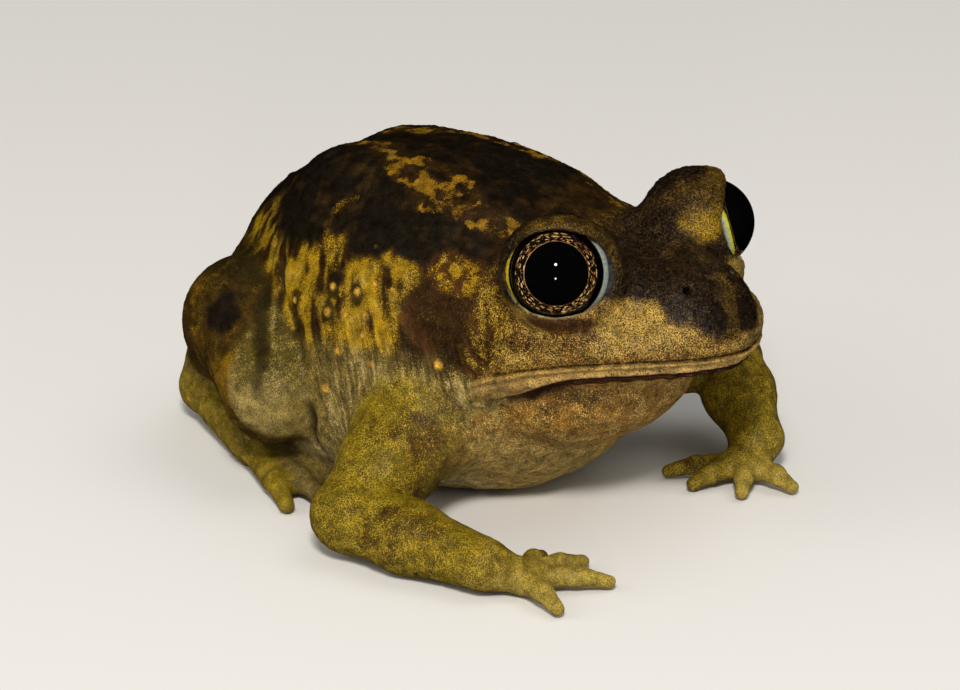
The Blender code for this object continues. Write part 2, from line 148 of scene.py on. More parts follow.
def chain(p, points, radii, width, flatten=1.0):
    """Tapering bars end to end through the points, melted together."""
    field = None
    for i in range(len(points) - 1):
        bar = limb(p, points[i], points[i + 1], radii[i], radii[i + 1], flatten)
        field = bar if field is None else blend(field, bar, width)
    return field


def cut(field, cutter, width):
    """A field with the cutter taken away, its new edge rounded over about width."""
    return -blend(-field, cutter, width)


# Torso


def torso(p):
    belly = ellipsoid(p, mm(-2.6, 0.0, 9.3), mm(15.8, 12.4, 9.8))
    back = ellipsoid(p, mm(-3.2, 0.0, 13.6), mm(13.8, 9.4, 8.4), pitch=2.0)
    rump = ellipsoid(p, mm(-13.6, 0.0, 9.4), mm(6.0, 6.0, 6.8), pitch=20.0)
    chest = ellipsoid(p, mm(1.2, 0.0, 9.0), mm(9.6, 9.6, 9.2))
    shoulders = ellipsoid(p, mm(2.6, 0.0, 12.9), mm(10.0, 9.0, 6.2))
    field = blend(belly, back, 4.0 * MM)
    field = blend(field, rump, 4.0 * MM)
    field = blend(field, chest, 3.0 * MM)
    field = blend(field, shoulders, 4.0 * MM)
    for y in (-3.4, 3.4):
        spine_edge = limb(p, mm(-10.0, y, 18.6), mm(4.0, y, 18.9), 1.6 * MM, 1.6 * MM)
        field = blend(field, spine_edge, 3.0 * MM)
    for side in (-1, 1):
        flank = ellipsoid(p, mirrored(mm(-3.4, -7.6, 5.6), side), mm(7.6, 5.0, 4.6), yaw=side * 6.0)
        field = blend(field, flank, 3.0 * MM)
    return field


# Head. Seen from above its outline is a blunt point. The mouth line follows it and rises to the snout.


def mouth_height(x):
    """The height of the mouth line where it is x forward."""
    t = np.clip((x - JAW_X) / JAW_LENGTH, -0.6, 1.0)
    return MOUTH_LOW + MOUTH_RISE * t * (2.0 - t)


def mouth_points(inset, drop, corner, count):
    """Points along the mouth line, inset from the jaw's outline and dropped below the line."""
    points = []
    for angle in np.linspace(-corner, corner, count):
        a = math.radians(angle)
        c, s = math.cos(a), math.sin(a)
        x = JAW_X + (JAW_LENGTH - inset) * math.copysign(abs(c) ** (2.0 / JAW_POINT), c)
        y = (JAW_HALF_WIDTH - inset) * math.copysign(abs(s) ** (2.0 / JAW_POINT), s)
        points.append(np.array([x, y, mouth_height(x) - drop]))
    return points


def lip(p, inset, drop, radius):
    """A rounded rim along the mouth line."""
    points = mouth_points(inset, drop, MOUTH_CORNER, 25)
    radii = [radius] * len(points)
    radii[0] = radii[-1] = radius * 0.6
    return chain(p, points, radii, 0.3 * MM)


def dome(p, inset, height, under, squareness):
    """A dome over the outline of the jaw, up from the mouth line, or down from it if height is negative.

    On the other side of the mouth line it goes on for the short distance under, and behind the corners of
    the mouth for more.
    """
    ahead = p[:, 0] - JAW_X
    length = np.where(ahead > 0.0, JAW_LENGTH, HEAD_BACK) - inset
    x, y = np.abs(ahead) / length, np.abs(p[:, 1]) / (JAW_HALF_WIDTH - inset)
    plan = np.maximum((x ** JAW_POINT + y ** JAW_POINT) ** (1.0 / JAW_POINT), 1e-6)
    above = p[:, 2] - mouth_height(p[:, 0])
    behind = np.clip(-ahead / (JAW_LENGTH - HEAD_BACK + THROAT_FILL), 0.0, 1.0)
    reach = np.where(above * height > 0.0, np.abs(height), under + THROAT_FILL * behind)
    z = np.abs(above) / reach
    near = np.maximum((plan ** squareness + z ** squareness) ** (1.0 / squareness), 1e-6)
    plan_part = (plan / near) ** (squareness - 1.0)
    slope_x = plan_part * (x / plan) ** (JAW_POINT - 1.0) / length
    slope_y = plan_part * (y / plan) ** (JAW_POINT - 1.0) / (JAW_HALF_WIDTH - inset)
    slope_z = (z / near) ** (squareness - 1.0) / reach
    return (near - 1.0) / np.maximum(np.sqrt(slope_x ** 2 + slope_y ** 2 + slope_z ** 2), 20.0)


def upper_head(p):
    height = HEAD_TOP - mouth_height(p[:, 0])
    field = dome(p, 0.4 * MM, height, 0.5 * MM, 2.5)
    snout = ellipsoid(p, mm(17.8, 0.0, 15.6), mm(4.9, 4.3, 2.8), pitch=2.0)
    field = blend(field, snout, 1.5 * MM)
    field = blend(field, lip(p, 0.65 * MM, -0.8 * MM, 0.75 * MM), 1.4 * MM)
    for side in (-1, 1):
        cheek = ellipsoid(p, mirrored(mm(9.0, -5.9, 14.0), side), mm(5.0, 2.9, 3.2), pitch=8.0)
        under_eye = ellipsoid(p, mirrored(mm(11.8, -5.8, 15.8), side), mm(4.3, 2.6, 2.5), yaw=side * 4.0)
        nostril_rim = ball(p, mirrored(mm(19.5, -1.7, 17.3), side), 0.85 * MM)
        brow_back, brow_front = mirrored(mm(12.0, -4.0, 18.2), side), mirrored(mm(18.6, -1.7, 17.0), side)
        brow = limb(p, brow_back, brow_front, 1.4 * MM, 1.1 * MM)
        field = blend(field, cheek, 2.0 * MM)
        field = blend(field, under_eye, 1.8 * MM)
        field = blend(field, brow, 2.0 * MM)
        field = blend(field, nostril_rim, 1.6 * MM)
    return field


def eye_centre(side):
    return np.array([EYE_X, side * EYE_Y, EYE_Z]) + mm(*EYE_SHIFT[side])


def eye_axes(side):
    """Where the eye looks, the direction along its lids, and the direction across them."""
    look = turned(side * EYE_TURN, EYE_LIFT[side])
    along = np.cross(np.array([0.0, 0.0, 1.0]), look)
    along /= np.linalg.norm(along)
    return look, along, np.cross(look, along)


def nostril(p, side):
    start = mirrored(mm(21.0, -2.7, 18.9), side)
    end = mirrored(mm(19.2, -1.6, 17.5), side)
    return limb(p, start, end, 0.34 * MM, 0.20 * MM)


def jaw_and_throat(p):
    field = dome(p, 1.4 * MM, -3.2 * MM, 0.3 * MM, 2.4)
    field = blend(field, lip(p, 0.8 * MM, 0.72 * MM, 0.68 * MM), 0.4 * MM)
    throat = ellipsoid(p, mm(8.8, 0.0, 8.8), mm(8.0, 8.0, 4.6), pitch=14.0)
    return blend(field, throat, 1.6 * MM)


# Legs. Joints and tips are given for the right side, and each leg has its own pose.

UPPER_ARM_RADII = mm(4.0, 3.1, 2.35)
FOREARM_RADII = mm(2.35, 2.35, 1.75)
THIGH_RADII = mm(4.6, 4.3, 3.4)
SHANK_RADII = mm(3.4, 4.0, 2.1)

ARMS = {
    "right": {
        "shoulder": mm(3.8, -8.6, 7.6),
        "elbow": mm(4.7, -17.7, 2.9),
        "wrist": mm(15.0, -16.0, 2.0),
        "palm": mm(16.8, -14.4, 1.2),
        "tips": [mm(14.9, -10.2, 0.6), mm(17.4, -9.0, 0.6), mm(20.8, -10.2, 0.6), mm(21.2, -15.6, 0.6)],
    },
    "left": {
        "shoulder": mm(3.8, -8.6, 7.6),
        "elbow": mm(9.0, -15.0, 5.8),
        "wrist": mm(15.0, -11.4, 2.4),
        "palm": mm(15.6, -9.7, 1.3),
        "tips": [mm(11.6, -6.2, 0.6), mm(14.3, -5.6, 0.6), mm(17.6, -6.8, 0.6), mm(19.5, -9.8, 0.6)],
    },
}
LEGS = {
    "right": {
        "hip": mm(-14.0, -5.0, 9.6),
        "knee": mm(-7.2, -12.6, 6.9),
        "calf": mm(-13.4, -9.0, 9.3),
        "ankle": mm(-19.2, -6.4, 4.2),
        "heel": mm(-19.2, -7.4, 2.4),
        "sole": mm(-11.0, -10.8, 1.3),
        "tips": [
            mm(-8.2, -7.2, 0.6), mm(-5.0, -8.2, 0.6), mm(-2.4, -10.6, 0.6), mm(-1.4, -13.6, 0.6),
            mm(-3.2, -15.6, 0.6),
        ],
    },
    "left": {
        "hip": mm(-14.0, -5.0, 9.6),
        "knee": mm(-6.8, -13.2, 6.7),
        "calf": mm(-13.2, -9.6, 9.0),
        "ankle": mm(-19.0, -7.2, 3.8),
        "heel": mm(-19.0, -7.8, 1.9),
        "sole": mm(-10.6, -11.6, 1.3),
        "tips": [
            mm(-7.8, -8.0, 0.6), mm(-4.6, -9.0, 0.6), mm(-1.8, -11.6, 0.6), mm(-0.6, -14.6, 0.6),
            mm(-2.6, -16.6, 0.6),
        ],
    },
}
SIDES = {"right": -1, "left": 1}


def placed(pose, name, side):
    return mirrored(pose[name], side)


def upper_arm(p, pose, side):
    shoulder, elbow = placed(pose, "shoulder", side), placed(pose, "elbow", side)
    middle = shoulder * 0.45 + elbow * 0.55
    return chain(p, [shoulder, middle, elbow], UPPER_ARM_RADII, 1.0 * MM)


def forearm(p, pose, side):
    elbow, wrist = placed(pose, "elbow", side), placed(pose, "wrist", side)
    middle = elbow * 0.55 + wrist * 0.45
    return chain(p, [elbow, middle, wrist], FOREARM_RADII, 1.0 * MM)


def digits(p, base, tips, root_radius, tip_radius, spread):
    """Fingers or toes that leave the hand side by side, each thinnest near its tip."""
    field = None
    for tip in tips:
        root = base + (tip - base) * spread
        knuckle = root * 0.45 + tip * 0.55
        knuckle[2] += 0.25 * MM
        digit = chain(p, [root, knuckle, tip], [root_radius, root_radius * 0.8, tip_radius], 0.3 * MM)
        field = digit if field is None else blend(field, digit, 0.5 * MM)
    return field


def hand(p, pose, side):
    wrist, palm = placed(pose, "wrist", side), placed(pose, "palm", side)
    tips = [mirrored(tip, side) for tip in pose["tips"]]
    field = limb(p, wrist, palm, 1.7 * MM, 1.4 * MM, 1.25)
    return blend(field, digits(p, palm, tips, 0.8 * MM, 0.45 * MM, 0.2), 0.7 * MM)


def thigh(p, pose, side):
    hip, knee = placed(pose, "hip", side), placed(pose, "knee", side)
    return chain(p, [hip, (hip + knee) / 2, knee], THIGH_RADII, 1.5 * MM)


def shank(p, pose, side):
    points = [placed(pose, name, side) for name in ("knee", "calf", "ankle")]
    return chain(p, points, SHANK_RADII, 2.0 * MM)


def web(p, sole, tips):
    """Thin skin between the toes: a flat fan that stops short of the tips."""
    field = None
    for i in range(len(tips) - 1):
        edge = (tips[i] + tips[i + 1]) / 2 * 0.62 + sole * 0.38
        bar = limb(p, sole, edge, 1.3 * MM, 1.6 * MM, 2.4)
        field = bar if field is None else blend(field, bar, 0.8 * MM)
    return field


def foot(p, pose, side):
    points = [placed(pose, name, side) for name in ("ankle", "heel", "sole")]
    tips = [mirrored(tip, side) for tip in pose["tips"]]
    field = chain(p, points, mm(1.9, 1.8, 1.6), 0.8 * MM)
    field = blend(field, digits(p, points[2], tips, 0.9 * MM, 0.55 * MM, 0.2), 0.8 * MM)
    return blend(field, web(p, points[2], tips), 0.6 * MM)


def spade(p, pose, side):
    """The black digging blade on the inner edge of the sole."""
    heel, sole = placed(pose, "heel", side), placed(pose, "sole", side)
    inner = np.array([0.0, -side * 1.0, 0.0])
    start = heel * 0.45 + sole * 0.55 + inner * 1.75 * MM
    end = heel * 0.15 + sole * 0.85 + inner * 2.35 * MM
    start[2] = end[2] = 0.75 * MM
    return limb(p, start, end, 0.75 * MM, 0.45 * MM, 1.4)


# The whole skin, all parts melted together


LIMB_PARTS = {"upper_arm": (upper_arm, ARMS), "forearm": (forearm, ARMS), "hand": (hand, ARMS),
              "thigh": (thigh, LEGS), "shank": (shank, LEGS), "foot": (foot, LEGS)}


def own_fields(p):
    """The fields of the solids that the skin stands for, by their nodes' names."""
    fields = {"torso": torso(p), "head": upper_head(p), "lower_jaw": jaw_and_throat(p)}
    for name, side in SIDES.items():
        for part, (field, poses) in LIMB_PARTS.items():
            fields[part + "_" + name] = field(p, poses[name], side)
    return fields


def eye_coordinates(p, side):
    """How far points lie ahead of the eye's middle, towards its front corner, and above it."""
    look, along, across = eye_axes(side)
    q = p - eye_centre(side)
    return q @ look, q @ along * -side, q @ across


def soft_lids(p, side):
    """The lids as the skin has them: a thick hood above, thin below and at the corners."""
    ahead, _, up = eye_coordinates(p, side)
    upright = np.clip(up / EYE_RADIUS, -1.0, 1.0)
    hood = ramp(upright, -0.1, 0.6)
    above_rim = ahead - LID_HEIGHT - (LID_ARCH - 0.4 * MM * (1.0 - hood)) * upright ** 2
    thickness = LID_THICKNESS * (0.45 + 0.34 * hood - 0.30 * ramp(upright, -0.35, -0.9))
    shell = ball(p, eye_centre(side), EYE_RADIUS + SOCKET_GAP + thickness)
    look, along, _ = eye_axes(side)
    corner = eye_centre(side) - along * side * 0.75 * MM - look * 0.5 * MM
    shell = blend(shell, ball(p, corner, EYE_RADIUS + 0.6 * MM), 0.5 * MM)
    return cut(shell, -above_rim, (0.45 + 0.5 * hood + 1.6 * ramp(shell / MM, 0.1, 0.9)) * MM)


def past_lids(front, up):
    """Distance outwards from the edge of the lids, seen along the eye's line of sight."""
    half = np.where(front > 0.0, OPENING_FRONT, OPENING_REAR)
    return (np.sqrt((front / half) ** 2 + (up / OPENING_HALF_HEIGHT) ** 2) - 1.0) * OPENING_HALF_HEIGHT


def eye_opening(p, side):
    """Where the lids stand apart: an ellipse, longer towards the snout."""
    ahead, front, up = eye_coordinates(p, side)
    return np.maximum(past_lids(front, up), OPENING_FLOOR - ahead)


def skin_field(p):
    """The whole body's skin, open at the eyes and nostrils and closed along the ground."""
    fields = own_fields(p)
    head = fields["head"]
    for side in SIDES.values():
        head = cut(head, ellipsoid(p, mirrored(mm(*HOLLOW_CHEEK[0]), side), mm(*HOLLOW_CHEEK[1])), 1.5 * MM)
        head = blend(head, ball(p, mirrored(mm(*EYE_HUMP), side), EYE_HUMP_RADIUS * MM), 0.9 * MM)
        head = blend(head, soft_lids(p, side), 1.5 * MM)
    body = blend(fields["torso"], head, 3.0 * MM)
    body = blend(body, fields["lower_jaw"], 0.25 * MM)
    for name in SIDES:
        arm = blend(fields["upper_arm_" + name], fields["forearm_" + name], 0.8 * MM)
        arm = blend(arm, fields["hand_" + name], 0.8 * MM)
        leg = blend(fields["thigh_" + name], fields["shank_" + name], 0.6 * MM)
        leg = blend(leg, fields["foot_" + name], 0.6 * MM)
        body = blend(body, arm, 2.2 * MM)
        body = blend(body, leg, 0.9 * MM)
    for side in SIDES.values():
        socket = ball(p, eye_centre(side), EYE_RADIUS + EYE_CLEARANCE)
        body = cut(body, socket, 0.12 * MM)
        body = cut(body, eye_opening(p, side), 0.12 * MM)
        body = cut(body, nostril(p, side), 0.4 * MM)
    return np.maximum(body, -p[:, 2])


def meshed(field_of, low, high, step):
    """Points and faces of the zero surface of field_of, measured only in blocks it may pass through."""
    size = np.ceil((high - low) / step / BLOCK).astype(int) * BLOCK + 1
    reach = BLOCK * step * 1.3
    blocks = [np.arange(n // BLOCK) for n in size]
    starts = np.stack(np.meshgrid(*blocks, indexing="ij"), axis=-1).reshape(-1, 3) * BLOCK
    centres = low + (starts + BLOCK / 2.0) * step
    at_centre = field_of(centres)
    values = np.full(size, 1.0, np.float32)
    offsets = np.stack(np.meshgrid(*[np.arange(BLOCK + 1)] * 3, indexing="ij"), axis=-1).reshape(-1, 3)
    for start, value in zip(starts, at_centre):
        x, y, z = start
        values[x:x + BLOCK + 1, y:y + BLOCK + 1, z:z + BLOCK + 1] = np.sign(value)
    near = starts[np.abs(at_centre) < reach]
    for part in np.array_split(near, max(1, len(near) // 150)):
        cells = (part[:, None, :] + offsets[None, :, :]).reshape(-1, 3)
        values[cells[:, 0], cells[:, 1], cells[:, 2]] = field_of(low + cells * step)
    grid = openvdb.FloatGrid(1.0)
    grid.copyFromArray(values)
    points, quads = grid.convertToQuads(0.0)
    return low + points * step, quads


def in_parts(function, p, size=20000):
    """A function of a point cloud, worked out a part at a time."""
    return np.concatenate([function(part) for part in np.array_split(p, max(1, len(p) // size))])


# Noise, the same on every run


def lattice(cell, seed):
    """A number between -1 and 1 for each cell of a grid."""
    h = cell[:, 0] * 73856093 ^ cell[:, 1] * 19349663 ^ cell[:, 2] * 83492791 ^ seed * 2654435761
    h = (h ^ h >> 15) * 2246822519 & 0xFFFFFFFF
    h = (h ^ h >> 13) * 3266489917 & 0xFFFFFFFF
    return ((h ^ h >> 16) & 0xFFFFFF) / 0x7FFFFF - 1.0


def noise(p, scale, seed=0):
    """Smooth noise between -1 and 1 whose lumps are about scale wide."""
    q = p / scale + 31.7 * (seed + 1)
    cell = np.floor(q).astype(np.int64)
    t = q - cell
    t = t * t * (3.0 - 2.0 * t)
    total = np.zeros(len(p))
    for corner in itertools.product((0, 1), repeat=3):
        weight = np.prod(np.where(corner, t, 1.0 - t), axis=1)
        total += weight * lattice(cell + corner, seed)
    return total


def layered(p, scale, seed=0, layers=3):
    """Noise with finer noise on it."""
    total, weight = np.zeros(len(p)), 0.0
    for i in range(layers):
        total += noise(p, scale / 2.0 ** i, seed + i) / 1.8 ** i
        weight += 1.0 / 1.8 ** i
    return total / weight * 1.4


def drawn_out(p, direction, times):
    """Points squeezed along a direction, so that noise on them comes out that many times longer."""
    direction = np.array(direction) / np.linalg.norm(direction)
    return p - (p @ direction)[:, None] * direction * (1.0 - 1.0 / times)


def cells(p, scale, seed=0):
    """Distance, in scales, to the nearest of points scattered one to a cell, and that point's number."""
    q = p / scale
    home = np.floor(q).astype(np.int64)
    best = np.full(len(p), 9.0)
    mark = np.zeros(len(p))
    for step in itertools.product((-1, 0, 1), repeat=3):
        cell = home + step
        centre = np.stack([lattice(cell, seed + k) * 0.42 + 0.5 for k in range(3)], axis=1) + cell
        away = np.linalg.norm(q - centre, axis=1)
        closer = away < best
        best = np.where(closer, away, best)
        mark = np.where(closer, lattice(cell, seed + 7), mark)
    return best, mark


def folded(p):
    """Points with those of the left side laid over onto the right."""
    return np.stack([p[:, 0], -np.abs(p[:, 1]), p[:, 2]], axis=1)


def stroke(p, points, wander=0.0, seed=0):
    """Distance to a line through the points, in millimetres. wander, in metres, shakes it."""
    q = p
    if wander:
        q = p + np.stack([noise(p, 1.6 * MM, seed + k) for k in range(3)], axis=1) * wander
    best = np.full(len(p), 1.0)
    for start, end in zip(points[:-1], points[1:]):
        axis = end - start
        along = np.clip((q - start) @ axis / (axis @ axis), 0.0, 1.0)
        best = np.minimum(best, np.linalg.norm(q - start - along[:, None] * axis, axis=1))
    return best / MM


def spot(p, centre, radii):
    """1 at the centre of an ellipsoid and 0 at its edge and outside it. In millimetres."""
    return np.clip(1.0 - np.linalg.norm((p / MM - centre) / radii, axis=1), 0.0, 1.0)


def patch(p, centre, radii, ragged=0.0, low=0.1, high=0.5):
    """A patch inside an ellipsoid: 1 where spot and the noise ragged come over high, 0 where under low."""
    return ramp(spot(p, centre, radii) + ragged, low, high)


# Where the markings and folds lie, in millimetres on the right side. The left side mirrors them.
DORSAL_STRIPE = mm((9.5, -4.0, 19.2), (6.3, -4.9, 20.0), (3.3, -5.5, 20.6), (-0.2, -5.3, 21.1),
                   (-3.7, -4.0, 21.7), (-6.5, -2.2, 21.6), (-10.0, -1.6, 20.4))
STRIPE_BRANCH = mm((-3.0, -3.4, 21.7), (0.5, -3.0, 21.7), (3.0, -3.9, 21.1), (5.2, -4.4, 20.4))
FLANK_STREAK = mm((-5.0, -6.9, 19.7), (-5.9, -8.0, 18.5), (-5.8, -9.0, 17.4), (-4.5, -9.9, 16.5),
                  (-3.4, -10.5, 15.6))
EAR_PATCH = mm((4.5, -8.3, 17.7), (6.8, -8.4, 17.3))
SNOUT_BAND = mm((20.5, 0.7, 18.3), (21.3, 0.7, 17.8), (22.3, -0.4, 17.0), (23.0, -1.0, 15.7))
WARTS = mm((-3.2, -10.9, 14.9), (-1.0, -10.9, 15.1), (0.2, -10.4, 15.8), (-3.1, -11.6, 13.3),
           (1.7, -10.3, 15.8), (0.2, -11.4, 13.8), (0.3, -11.7, 12.6), (-1.5, -12.2, 11.1),
           (1.3, -12.0, 10.9), (-6.4, -11.3, 13.2), (-2.1, -12.8, 8.5), (-2.3, -13.0, 6.6),
           (6.2, -10.7, 11.8), (-1.4, -11.5, 13.5), (-3.4, -9.9, 17.3), (-1.0, -9.3, 18.0))
RINGED_WARTS = [0, 1, 3, 9]  # those with dark skin round them
THIGH_CREASE = mm((-9.4, -9.6, 15.0), (-7.6, -11.2, 12.9), (-6.9, -11.5, 12.2), (-5.4, -12.2, 10.8),
                  (-4.2, -13.0, 9.4), (-3.6, -13.4, 7.7), (-3.4, -13.2, 5.7), (-3.3, -12.8, 4.6),
                  (-3.1, -11.5, 2.4))
SHANK_CREASE = mm((-11.0, -9.0, 15.0), (-10.2, -10.3, 13.4), (-9.1, -11.8, 11.9), (-7.7, -13.4, 10.6),
                  (-6.3, -14.6, 9.7), (-5.9, -15.3, 8.0))
CORNER_FOLDS = (mm((9.7, -10.0, 12.4), (8.6, -10.2, 12.9), (8.0, -10.2, 13.9)),
                mm((8.9, -10.2, 11.6), (7.6, -10.5, 12.2), (7.0, -10.4, 13.4)),
                mm((10.2, -9.8, 11.3), (8.4, -10.6, 10.4), (6.4, -11.2, 9.8), (4.4, -11.9, 9.3)))
AXILLA_FOLD = mm((5.3, -10.8, 12.6), (3.5, -10.9, 14.2), (3.3, -10.3, 15.4))
EYE_BEADS = mm((9.55, -7.0, 20.4), (9.75, -6.7, 20.8))  # small warts behind the eye
LID_WART = mm((15.7, 4.45, 20.3))[0]  # on the left lid only


# Relief. Everything here moves skin along its normal.


REGIONS = {"torso": ("torso",), "head": ("head",), "jaw": ("lower_jaw",), "arm": ("upper_arm_", "forearm_"),
           "hand": ("hand_",), "thigh": ("thigh_",), "shank": ("shank_",), "foot": ("foot_",)}


def weights(own):
    """How much of each body region a point belongs to, from 0 to 1, from the parts' own fields."""
    soft = 0.9 * MM
    shares = {}
    for region, parts in REGIONS.items():
        nearest = np.minimum.reduce([field for name, field in own.items() if name.startswith(parts)])
        shares[region] = np.exp(-np.clip(nearest - own["least"], 0.0, 20.0 * soft) / soft)
    total = sum(shares.values())
    return {region: share / total for region, share in shares.items()}


def part_of(part, *regions):
    """How much of any of the regions a point belongs to."""
    return np.clip(sum(part[region] for region in regions), 0.0, 1.0)


def wart_field(p):
    """How far a point is into its nearest wart, 1 at the middle and 0 at its foot."""
    best = np.zeros(len(p))
    q = folded(p)
    for index, centre in enumerate(WARTS):
        radius = (0.44 + 0.12 * math.sin(index * 2.7)) * MM
        best = np.maximum(best, 1.0 - np.linalg.norm(q - centre, axis=1) / radius)
    return np.clip(best, 0.0, 1.0)


def on_lids(p):
    """1 on the upper half of the lids round either eye, 0 away from them."""
    near = np.minimum(*[np.linalg.norm(p - eye_centre(side), axis=1) for side in (-1, 1)]) / MM
    return ramp(near, 4.6, 3.9) * ramp(p[:, 2], 17.0 * MM, 18.6 * MM)


def above_mouth(p):
    """How high a point is over the mouth line, in millimetres."""
    return (p[:, 2] - mouth_height(p[:, 0])) / MM + 0.03 * noise(p, 0.9 * MM, 91)


def under_lip(p):
    """How high a point is over the crease under the lower lip, in millimetres. The lip deepens rearwards."""
    return above_mouth(p) + 1.12 + 0.95 * ramp(p[:, 0], 16.0 * MM, 10.5 * MM)


def relief(p, part):
    """How far the skin stands out from the smooth body, in metres."""
    x, y, z = (p / MM).T
    q = folded(p)
    upper = ramp(z, 8.0, 14.0) * (1.0 - part["jaw"])
    lid = on_lids(p)
    away, _ = cells(p, 0.5 * MM, 3)
    out = np.clip(0.5 - away, 0.0, 1.0) * 0.11 * (0.3 + 0.6 * upper + 0.6 * lid)
    out *= 1.0 - 0.5 * part["hand"]
    away, mark = cells(p, 1.5 * MM, 11)
    bump = np.clip(1.0 - away / (0.34 + 0.1 * mark), 0.0, 1.0)
    out += ramp(bump, 0.0, 1.0) * 0.13 * upper * (mark > -0.2) * (0.35 + 0.65 * part["torso"]) * (1.0 - lid)
    out += ramp(wart_field(p), 0.0, 1.0) * 0.15
    for bead in EYE_BEADS:
        out += ramp(np.linalg.norm(q - bead, axis=1) / MM, 0.26, 0.08) * 0.14
    out += ramp(np.linalg.norm(p - LID_WART, axis=1) / MM, 0.75, 0.15) * 0.28
    out += noise(p, 0.33 * MM, 5) * 0.018 + noise(p, 1.3 * MM, 6) * 0.04
    # Fine wrinkles: along the flank towards the armpit, and across the throat and neck
    fan = ramp(x, -6.0, -1.0) * ramp(z, 14.0, 11.0) * ramp(np.abs(y), 6.0, 9.0)
    fan *= part["torso"] + 0.3 * part["arm"]
    out += noise(drawn_out(q, (0.45, -0.2, -0.87), 5.0), 0.36 * MM, 31) * 0.075 * fan
    throat = part["jaw"] * ramp(above_mouth(p), -1.2, -2.2)
    throat += part["torso"] * ramp(x, 3.0, 6.0) * ramp(z, 11.0, 9.0)
    out += noise(drawn_out(p, (0.2, 1.0, 0.0), 4.0), 0.7 * MM, 33) * 0.06 * throat
    out += noise(p, 1.6 * MM, 35) * 0.10 * throat
    # Folds
    crease = stroke(q, THIGH_CREASE, 0.3 * MM, 2)
    out -= 0.35 * np.exp(-(crease / 0.24) ** 2) + 0.15 * np.exp(-(crease / 0.7) ** 2)
    out -= 0.16 * np.exp(-(stroke(q, SHANK_CREASE, 0.2 * MM, 4) / 0.7) ** 2)
    out -= 0.12 * np.exp(-(stroke(q, AXILLA_FOLD, 0.3 * MM, 5) / 0.5) ** 2)
    for fold, depth, width in zip(CORNER_FOLDS, (0.2, 0.16, 0.25), (0.17, 0.2, 0.3)):
        out -= depth * np.exp(-(stroke(q, fold, 0.2 * MM, 7) / width) ** 2)
    # The mouth, and the crease under the lower lip
    mouth = ramp(x, 9.3, 10.2)
    line = above_mouth(p)
    out -= 0.15 * np.exp(-(line / 0.09) ** 2) * mouth
    out -= 0.24 * np.exp(-(under_lip(p) / 0.17) ** 2) * ramp(x, 8.6, 10.4) * part_of(part, "head", "jaw")
    return out * MM * ramp(p[:, 2], 0.02 * MM, 0.6 * MM)


# Colours, as linear light


BACK = (0.009, 0.006, 0.003)
BACK_WARM = (0.028, 0.013, 0.003)
BACK_GOLD = (0.21, 0.105, 0.003)
FLANK_GOLD = (0.30, 0.175, 0.002)
FLANK_OCHRE = (0.13, 0.075, 0.002)
FLANK_BROWN = (0.028, 0.012, 0.002)
FLANK_OLIVE = (0.15, 0.105, 0.024)
FLANK_PALE = (0.27, 0.195, 0.060)
ORANGE = (0.50, 0.27, 0.03)
ARM = (0.155, 0.105, 0.005)
ARM_GOLD = (0.28, 0.19, 0.010)
# Brown of the arms' blotches, and painted shade on their lower inner sides and in the armpits
ARM_BROWN = (0.075, 0.038, 0.005)
THROAT = (0.30, 0.145, 0.022)
# Dark brown: the throat's own mottling, and painted shade in the creases under the lower lip and behind the
# mouth's corners
THROAT_DARK_AND_SHADE = (0.040, 0.011, 0.002)
CHEST = (0.46, 0.33, 0.09)
BELLY = (0.42, 0.33, 0.17)
LIP = (0.46, 0.28, 0.085)
FACE = (0.145, 0.066, 0.010)
FACE_GOLD = (0.35, 0.225, 0.045)
UPPER_LIP = (0.16, 0.065, 0.010)
# Brown of the cheek patches, and painted shade along the fold by the armpit
CHEEK_BROWN = (0.060, 0.022, 0.004)
SNOUT = (0.010, 0.006, 0.003)
# Near black of the crown and snout, and painted shade round the eyes
SPECK = (0.060, 0.034, 0.014)
UNDER_EYE = (0.050, 0.016, 0.006)
# Dark of the top of the hindlegs, and painted shade along their creases
HIP = (0.020, 0.014, 0.003)
KNEE = (0.085, 0.060, 0.009)
KNEE_PALE = (0.24, 0.175, 0.045)
SHANK = (0.050, 0.026, 0.002)
SHANK_GOLD = (0.20, 0.105, 0.001)
FOOT = (0.21, 0.145, 0.012)
WEB = (0.13, 0.090, 0.028)
FINGER = (0.34, 0.25, 0.04)
LID = (0.045, 0.024, 0.004)
LID_GOLD = (0.14, 0.080, 0.010)
LID_EDGE = (0.30, 0.26, 0.12)
PINK = (0.45, 0.20, 0.10)


# Brown patches on each cheek: middle and radii in millimetres, full edge, amount, colour and share of flecks
CHEEK_PATCHES = (((12.4, -9.4, 14.5), (2.2, 2.0, 0.9), 0.5, 0.7, CHEEK_BROWN, 0.25),
                 ((14.9, -8.6, 14.9), (1.9, 1.6, 1.1), 0.5, 0.5, CHEEK_BROWN, 0.3),
                 ((16.4, -7.2, 15.3), (1.2, 1.2, 0.9), 0.6, 0.6, UNDER_EYE, 0.3))


class Coat:
    """The skin's colours: a tone, and flecks of a second colour that cover some share of it.

    grit says how ragged and peppered the flecks are, lined how finely the skin is wrinkled, in its bumps and
    in painted shade and light along the wrinkles.
    """

    def __init__(self, count):
        self.tone = np.tile(np.array(BACK), (count, 1))
        self.fleck = np.tile(np.array(BACK_GOLD), (count, 1))
        self.share = np.full(count, 0.05)
        self.grit = np.full(count, 0.7)
        self.lined = np.zeros(count)

    def lay(self, amount, tone=None, fleck=None, share=None, grit=None, lined=None):
        """Lays colours over the others, as thickly as amount says."""
        amount = np.clip(amount, 0.0, 1.0)
        if tone is not None:
            self.tone += (np.array(tone) - self.tone) * amount[:, None]
        if fleck is not None:
            self.fleck += (np.array(fleck) - self.fleck) * amount[:, None]
        if share is not None:
            self.share += (share - self.share) * amount
        if grit is not None:
            self.grit += (grit - self.grit) * amount
        if lined is not None:
            self.lined += (lined - self.lined) * amount


